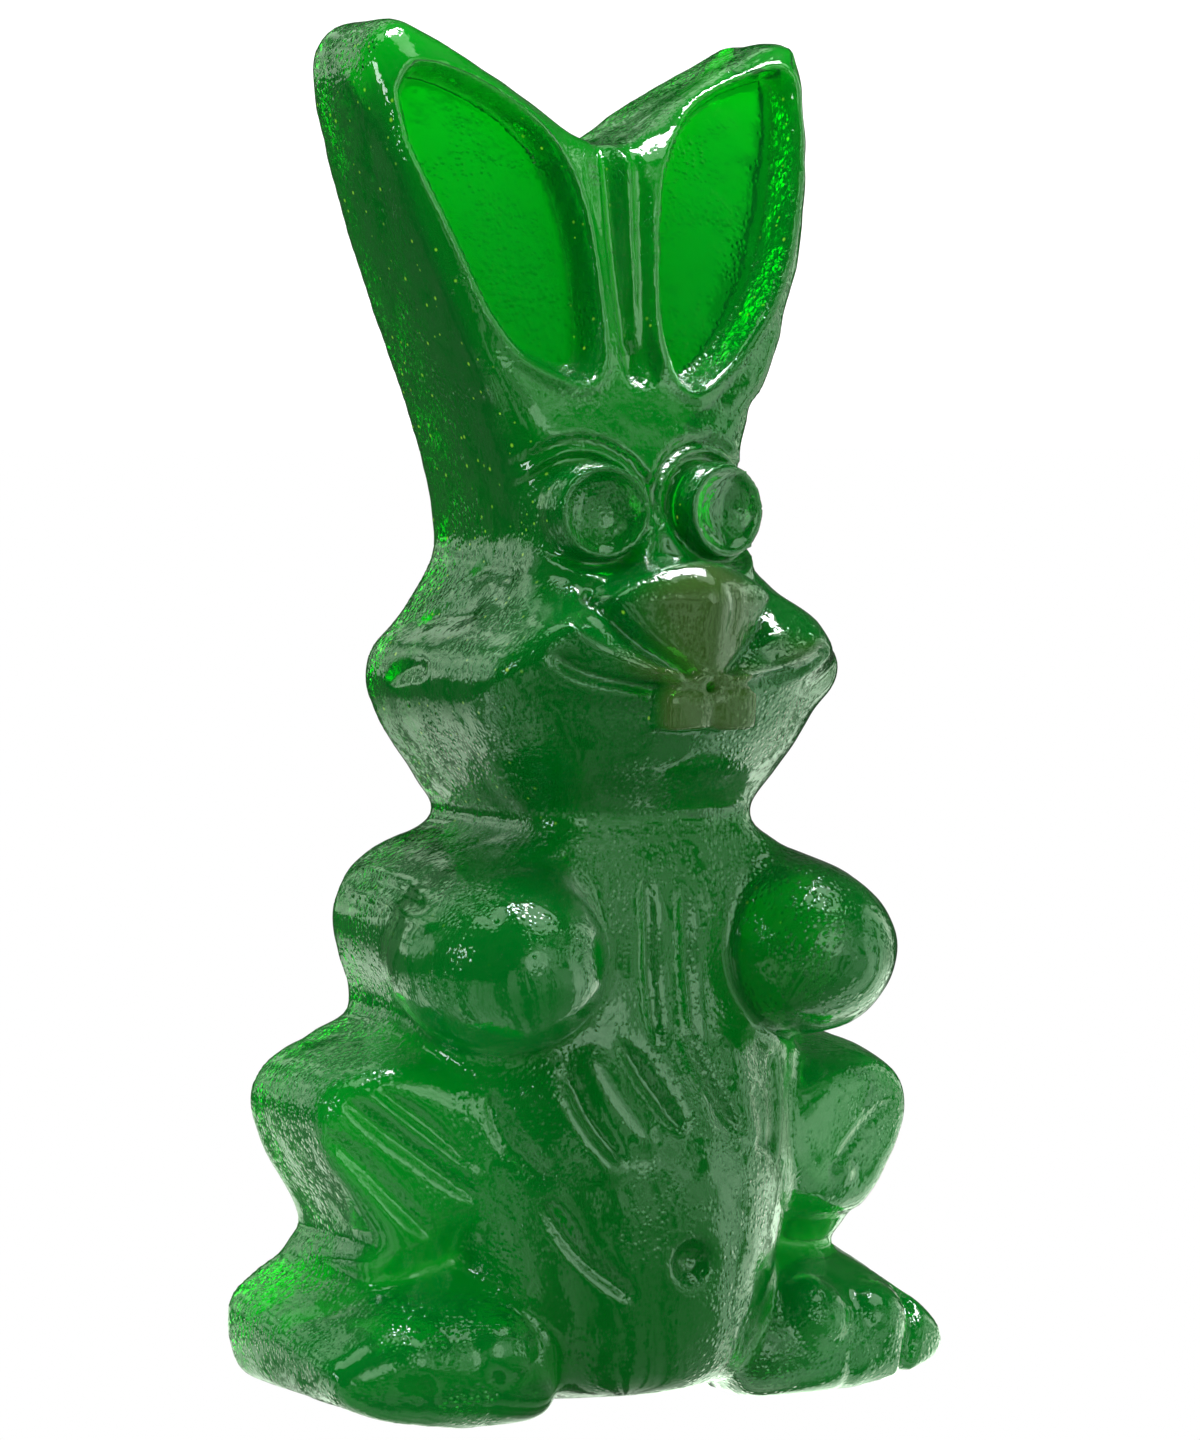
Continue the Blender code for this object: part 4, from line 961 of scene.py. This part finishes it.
@dataclass(frozen=True)
class Dots:
    """Round bumps or pits in a share of the cells of a Voronoi pattern.

    Attributes:
        cells: How many cells to a millimetre.
        radius: Of a bump, in cells.
        share: Of the cells that have one.
    """

    cells: float
    radius: float
    share: float

    def build(self, tree: Tree, place: Socket) -> Socket:
        """1 in the middle of each bump, 0 outside it."""
        pattern = node_of(tree, "TexVoronoi", {"Scale": self.cells, "Vector": place}).outputs
        parts = node_of(tree, "SeparateColor", {"Color": pattern["Color"]}).outputs
        chosen = maths(tree, "LESS_THAN", parts["Red"], self.share)
        size = maths(tree, "MULTIPLY_ADD", parts["Green"], 0.5 * self.radius, 0.5 * self.radius)
        inward = maths(tree, "SUBTRACT", 1.0, maths(tree, "DIVIDE", pattern["Distance"], size))
        return maths(tree, "MULTIPLY", soft_range(tree, inward, 0.0, 1.0), chosen)


@dataclass(frozen=True)
class SkinRelief:
    """The jelly's wet skin: orange peel, pebbles, droplets and pinholes, as one height; and a mask of painted
    glints, dots lit as if trapped bubbles caught the light.
    """

    peel: Point2 = (0.55, 1.4)    # waves to a millimetre, and their height
    pebbles: Dots = Dots(2.8, 0.9, 0.85)
    pebble_height: float = 0.8
    droplets: Dots = Dots(1.4, 0.4, 0.4)
    droplet_height: float = 1.2
    pinholes: Dots = Dots(0.8, 0.3, 0.2)
    painted_glints: Dots = Dots(1.3, 0.26, 0.5)
    patches: float = 0.16         # patches of rougher skin to a millimetre
    patch_edge: Point2 = (0.42, 0.6)      # noise levels where they start and are full
    patch_gain: Point2 = (0.85, 0.25)     # relief that a patch adds, and relief of all skin

    def group(self) -> Tree:
        """The group: places in millimetres in, a height and the mask of painted glints out."""
        tree = bpy.data.node_groups.new("wet_jelly_skin", "ShaderNodeTree")
        tree.interface.new_socket(name="Place", in_out="INPUT", socket_type="NodeSocketVector")
        for name in ("Height", "Painted Glints"):
            tree.interface.new_socket(name=name, in_out="OUTPUT", socket_type="NodeSocketFloat")
        place = tree.nodes.new("NodeGroupInput").outputs["Place"]
        result = tree.nodes.new("NodeGroupOutput")
        patch = soft_range(tree, noise(tree, place, self.patches, 1.0), *self.patch_edge)
        rough = maths(tree, "MULTIPLY_ADD", patch, *self.patch_gain)
        pebbles = maths(tree, "MULTIPLY", self.pebbles.build(tree, place), self.pebble_height)
        grains = maths(tree, "MULTIPLY_ADD", self.droplets.build(tree, place), self.droplet_height, pebbles)
        peel = maths(tree, "MULTIPLY", noise(tree, place, self.peel[0], 1.0), self.peel[1])
        height = maths(tree, "MULTIPLY_ADD", grains, rough, peel)
        height = maths(tree, "SUBTRACT", height, self.pinholes.build(tree, place))
        tree.links.new(height, result.inputs["Height"])
        tree.links.new(self.painted_glints.build(tree, place), result.inputs["Painted Glints"])
        return tree


@dataclass(frozen=True)
class JellyFinish:
    """Clear green jelly: light passes through and is taken up, most where the casting is thick; its emission
    paints a glow into the limbs and glints onto the left sides.

    Attributes:
        through: Colour of the light that passes.
        density: How fast light is taken up, per metre.
        body: Colour of the light that goes in at the skin.
        bump: Height of the relief, in metres.
    """

    through: Point3 = (0.0, 0.863, 0.01)
    density: float = 1800.0
    body: Point3 = (0.0, 0.85, 0.07)
    clear: float = 0.916         # the rest of the light is scattered at the skin
    roughness: float = 0.15
    ior: float = 1.42
    coat_roughness: float = 0.04
    coat_ior: float = 1.45
    bump: float = 0.000042
    # painted glints: the emission colour of dots that stand in for light caught by trapped bubbles
    painted_glint: Point3 = (0.22, 0.5, 0.02)
    painted_glint_height: Point2 = (20.0, 60.0)    # z from where to where they come in
    facing: Point2 = (-0.6, -0.85)           # part of a normal that counts as facing a way
    olive: Point3 = (0.34, 0.85, 0.16)       # the nose and teeth are browner
    olive_matt: float = 0.3                  # and less glossy
    olive_front: Point2 = (-9.5, -11.5)      # y from where to where this comes in
    olive_height: Point2 = (42.5, 44.5)      # and z
    limb_painted_glow: Point3 = (0.0, 0.04, 0.004)  # painted glow: emission in place of light that the limbs gather from the floor
    limb_side: Point2 = (7.0, 13.0)          # x from where to where it comes in
    limb_height: Point2 = (36.0, 26.0)       # and z
    ear_front: float = 26.5                  # height of the ears' front, run on down to z = 0
    ear_lean: float = 0.19                   # its fall per mm up
    matt_depth: Point2 = (0.9, 1.7)          # how far behind that front the skin turns matt
    matt_height: Point2 = (60.0, 68.0)       # from where up

    def material(self, name: str) -> bpy.types.Material:
        """The material with its skin relief."""
        made = bpy.data.materials.new(name)
        made.use_nodes = True
        tree = made.node_tree
        nodes, link = tree.nodes, tree.links.new
        take_up = node_of(tree, "VolumeAbsorption", {"Color": (*self.through, 1.0), "Density": self.density})
        link(take_up.outputs["Volume"], nodes["Material Output"].inputs["Volume"])
        place = nodes.new("ShaderNodeTexCoord").outputs["Object"]
        place = node_of(tree, "VectorMath", {"Vector": place, "Scale": 1.0 / MM}, operation="SCALE")
        place = place.outputs["Vector"]
        skin = nodes.new("ShaderNodeGroup")
        skin.node_tree = SkinRelief().group()
        link(place, skin.inputs["Place"])
        relief = {"Distance": self.bump, "Strength": 1.0, "Height": skin.outputs["Height"]}
        normal = node_of(tree, "Bump", relief).outputs["Normal"]
        limbs, olive, sides, hollows = self.zones(tree, place)
        # painted glow: emission on the arms, legs and feet in place of light gathered from the floor
        painted_limb_glow = mixed(tree, limbs, (0.0, 0.0, 0.0), self.limb_painted_glow)
        # painted light: emission glints on the left sides, laid over the painted glow of the limbs
        painted_glow_and_glints = mixed(tree, skin.outputs["Painted Glints"], painted_limb_glow, self.painted_glint)
        glossy = maths(tree, "SUBTRACT", 1.0, hollows)
        values = {
            "Base Color": (*self.body, 1.0), "Roughness": self.roughness, "IOR": self.ior,
            "Transmission Weight": self.clear, "Metallic": 0.0, "Coat Weight": 1.0,
            "Coat Roughness": self.coat_roughness, "Coat IOR": self.coat_ior,
            "Specular Tint": (0.0, 0.0, 0.0, 1.0), "Emission Strength": 1.0,
        }
        finish = nodes["Principled BSDF"]
        for socket, value in values.items():
            finish.inputs[socket].default_value = value
        for socket, value in (
                ("Normal", normal), ("Coat Normal", normal),
                ("Base Color", mixed(tree, olive, self.body, self.olive)),
                # Emission Color paints light: the glow of the limbs and the glints on the left sides
                ("Emission Color", mixed(tree, sides, painted_limb_glow, painted_glow_and_glints)),
                ("Coat Weight", maths(tree, "MULTIPLY_ADD", olive, -self.olive_matt, glossy))):
            link(value, finish.inputs[socket])
        return made

    def zones(self, tree: Tree, place: Socket) -> tuple[Socket, ...]:
        """Where the zones of the skin are: 1 in a zone and 0 outside it.

        Args:
            tree: Where the nodes go.
            place: Places on the casting in millimetres.

        Returns:
            The arms, legs and feet, where a glow of floor light is painted in; the front of the nose and the
            teeth; the left sides, most of all high up, where glints of light caught by trapped bubbles are
            painted on; the floors of the ears' hollows, matt from the mould.
        """
        x, y, z = parts_of(tree, place)
        normal = tree.nodes.new("ShaderNodeNewGeometry").outputs["Normal"]
        facing_x, facing_y, _ = parts_of(tree, normal)
        fall = maths(tree, "MULTIPLY", z, -self.ear_lean)
        behind = maths(tree, "ADD", maths(tree, "ADD", fall, y), self.ear_front - BACK_Y)
        return (
            zone(tree, (maths(tree, "ABSOLUTE", x), self.limb_side), (z, self.limb_height)),
            zone(tree, (y, self.olive_front), (z, self.olive_height)),
            zone(tree, (facing_x, self.facing), (z, self.painted_glint_height)),
            zone(tree, (behind, self.matt_depth), (facing_y, self.facing), (z, self.matt_height)))


# ------------------------------------------------------------------ studio
def mirrored_share(tree: Tree) -> Socket:
    """1 for rays that a skin mirrors and 0 for all others, those that passed through it too."""
    path = tree.nodes.new("ShaderNodeLightPath").outputs
    rays = {0: path["Is Glossy Ray"], 1: path["Is Transmission Ray"]}
    return node_of(tree, "Math", rays, operation="SUBTRACT", use_clamp=True).outputs["Value"]


def by_ray(tree: Tree, plain: Point3, passed: Point3, mirrored: Socket) -> Socket:
    """What a ray sees: one colour plainly, one after it passed through the jelly, one if it is mirrored."""
    path = tree.nodes.new("ShaderNodeLightPath").outputs
    seen = mixed(tree, path["Is Transmission Ray"], plain, passed)
    return mixed(tree, mirrored_share(tree), seen, mirrored)


@dataclass(frozen=True)
class SoftBox:
    """A soft area light: where it stands, what it points at, its sizes and its power in watts."""

    name: str
    place: Point3
    aim: Point3
    size: Point2
    power: float
    colour: Point3 = (1.0, 1.0, 1.0)

    def build(self) -> bpy.types.Object:
        """The light as an object."""
        data = bpy.data.lights.new(self.name, "AREA")
        data.shape = "RECTANGLE"
        data.size, data.size_y = self.size
        data.energy = self.power
        data.color = self.colour
        light = placed(self.name, data)
        light.location = self.place
        light.rotation_euler = (Vector(self.aim) - Vector(self.place)).to_track_quat("-Z", "Y").to_euler()
        return light


@dataclass(frozen=True)
class Glow:
    """A round patch of the surroundings that the skin mirrors brighter, or darker, than the rest.

    Attributes:
        azimuth: Of its middle, in degrees to the viewer's right of the front.
        elevation: Of its middle.
        reach: Degrees from the middle within which it has its full level.
        fade: Degrees over which it ends.
        level: How much is added.
    """

    azimuth: float
    elevation: float
    reach: float
    fade: float
    level: float

    def build(self, tree: Tree, way: Socket, total: Socket | float) -> Socket:
        """The total with this patch added, by the direction that is looked in."""
        side, up = math.radians(self.azimuth), math.radians(self.elevation)
        middle = (math.sin(side) * math.cos(up), -math.cos(side) * math.cos(up), math.sin(up))
        facing = node_of(tree, "VectorMath", {0: way, 1: middle}, operation="DOT_PRODUCT").outputs["Value"]
        edge = [math.cos(math.radians(angle)) for angle in (self.reach + self.fade, self.reach)]
        return maths(tree, "MULTIPLY_ADD", soft_range(tree, facing, *edge), self.level, total)


@dataclass(frozen=True)
class Studio:
    """White floor, white surroundings, soft boxes and the camera."""

    azimuth: float = 29.0        # the camera stands this far round to the viewer's left
    elevation: float = 3.1
    target: Point3 = (-0.001203, 0.001113, 0.044486)
    distance: float = 0.336
    lens: float = 129.75
    sensor: float = 36.0
    clip_start: float = 0.01
    floor_half: float = 30.0
    surround: float = 1.3
    passed: float = 2.6          # the surroundings, seen through the jelly
    floor_passed: float = 5.0    # the floor, seen through the jelly
    sheen: Point3 = (0.8, 1.0, 0.78)     # colour of all that the skin mirrors, but for the small lights
    clutter: Point2 = (7.0, 2.0)         # unevenness of what the skin mirrors: scale and detail
    clutter_edge: Point2 = (0.42, 0.54)  # noise levels where its bright parts start and are full
    clutter_gain: Point2 = (1.25, 0.12)  # what those add, and what there is everywhere
    mirrored: float = 0.07       # what the skin mirrors of the surroundings, before the patches
    glows: tuple[Glow, ...] = (
        Glow(10.0, 5.0, 42.0, 10.0, 0.75),
        Glow(78.0, 4.0, 33.0, 6.0, 1.2),
        Glow(-152.0, 18.0, 16.0, 6.0, 0.9),
        Glow(180.0, 42.0, 14.0, 8.0, 0.7),
    )
    windows: tuple[Glow, ...] = (        # clear bright lights, not broken up by that unevenness
        Glow(2.0, 18.0, 23.0, 5.0, 1.2),
        Glow(-10.0, 17.0, 15.0, 3.0, 2.2),
        Glow(33.0, 74.0, 16.0, 4.0, 3.4),
        Glow(-110.0, 62.0, 10.0, 4.0, 3.0),
    )
    floor_side: Point2 = (0.95, 0.05)    # what it mirrors of the floor at the sides: near by, far off
    floor_near: Point2 = (0.09, 0.16)    # the first up to here, the second from here
    floor_front: Point2 = (0.35, 1.0)    # the same towards the front
    floor_step: Point2 = (0.03, 0.09)    # and from where to where it changes there
    front: Glow = Glow(10.0, 0.0, 55.0, 20.0, 1.0)
    floor_right: Glow = Glow(80.0, 0.0, 28.0, 8.0, 1.0)
    boxes: tuple[SoftBox, ...] = (
        SoftBox("top_box", (0.02, 0.03, 0.50), (0.0, 0.0, 0.05), (0.16, 0.16), 2.6),
        SoftBox("left_box", (-0.5, 0.05, 0.17), (0.0, 0.0, 0.05), (0.10, 0.12), 0.5),
    )

    def camera(self) -> None:
        """The camera at the photograph's place."""
        a, e = math.radians(self.azimuth), math.radians(self.elevation)
        back = Vector((-math.sin(a) * math.cos(e), -math.cos(a) * math.cos(e), math.sin(e)))
        data = bpy.data.cameras.new("photo_camera")
        data.lens = self.lens
        data.sensor_width = self.sensor
        data.clip_start = self.clip_start
        camera = placed("photo_camera", data)
        camera.location = Vector(self.target) + self.distance * back
        camera.rotation_mode = "QUATERNION"
        camera.rotation_quaternion = (-back).to_track_quat("-Z", "Y")
        bpy.context.scene.camera = camera

    def floor(self) -> None:
        """A white lit floor under the casting; what the skin mirrors of it is bright near by and behind."""
        half = self.floor_half
        mesh = bpy.data.meshes.new("studio_floor")
        mesh.from_pydata([(-half, -half, 0.0), (half, -half, 0.0), (half, half, 0.0), (-half, half, 0.0)],
                         [], [(0, 1, 2, 3)])
        paint = bpy.data.materials.new("white_floor")
        paint.use_nodes = True
        tree = paint.node_tree
        tree.nodes.remove(tree.nodes["Principled BSDF"])
        place = tree.nodes.new("ShaderNodeTexCoord").outputs["Object"]
        way = node_of(tree, "VectorMath", {0: place}, operation="NORMALIZE").outputs["Vector"]
        away = node_of(tree, "VectorMath", {0: place}, operation="LENGTH").outputs["Value"]
        close, distant = self.floor_side
        near = soft_range(tree, away, *self.floor_near[::-1])
        side = maths(tree, "MULTIPLY_ADD", near, close - distant, distant)
        close, distant = self.floor_front
        far = soft_range(tree, away, *self.floor_step)
        front = maths(tree, "MULTIPLY_ADD", far, distant - close, close)
        share = self.front.build(tree, way, 0.0)
        level = maths(tree, "MULTIPLY_ADD", share, maths(tree, "SUBTRACT", front, side), side)
        seen = self.mirror(tree, way, level, (self.floor_right,))
        colour = by_ray(tree, (1.0, 1.0, 1.0), (self.floor_passed,) * 3, seen)
        glow = node_of(tree, "Emission", {"Color": colour})
        tree.links.new(glow.outputs["Emission"], tree.nodes["Material Output"].inputs["Surface"])
        mesh.materials.append(paint)
        ground = placed("studio_floor", mesh)

    def world(self) -> None:
        """White surroundings; what the skin mirrors of them is soft patches and windows on dark."""
        world = bpy.data.worlds.new("white_surround")
        bpy.context.scene.world = world
        world.use_nodes = True
        tree = world.node_tree
        way = tree.nodes.new("ShaderNodeTexCoord").outputs["Generated"]
        seen = self.mirror(tree, way, self.mirrored, self.glows, self.windows)
        colour = by_ray(tree, (self.surround,) * 3, (self.passed,) * 3, seen)
        tree.links.new(colour, tree.nodes["Background"].inputs["Color"])

    def mirror(self, tree: Tree, way: Socket, level: Socket | float, glows: tuple[Glow, ...],
               windows: tuple[Glow, ...] = ()) -> Socket:
        """The colour that the skin mirrors in a direction.

        Args:
            tree: Where the nodes go.
            way: The direction.
            level: The level all round.
            glows: Patches that the clutter breaks up with the rest.
            windows: Patches that it leaves clear.

        Returns:
            The colour.
        """
        for glow in glows:
            level = glow.build(tree, way, level)
        uneven = soft_range(tree, noise(tree, way, *self.clutter), *self.clutter_edge)
        total = maths(tree, "MULTIPLY", level, maths(tree, "MULTIPLY_ADD", uneven, *self.clutter_gain))
        for window in windows:
            total = window.build(tree, way, total)
        coloured = node_of(tree, "VectorMath", {0: self.sheen, "Scale": total}, operation="SCALE")
        return coloured.outputs["Vector"]

    def build(self) -> None:
        """Everything round the casting."""
        self.camera()
        self.floor()
        self.world()
        for box in self.boxes:
            box.build()
        bpy.context.scene.view_settings.view_transform = "Standard"


def main() -> None:
    """Build the casting, dress it and set up the studio."""
    logging.basicConfig(level=logging.INFO, format="%(name)s: %(message)s")
    rabbit = Casting().build("jelly_rabbit")
    rabbit.data.materials.append(JellyFinish().material("green_jelly"))
    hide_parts("gummy_bunny")
    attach(rabbit, "root")
    Studio().build()


if __name__ == "__main__":
    main()
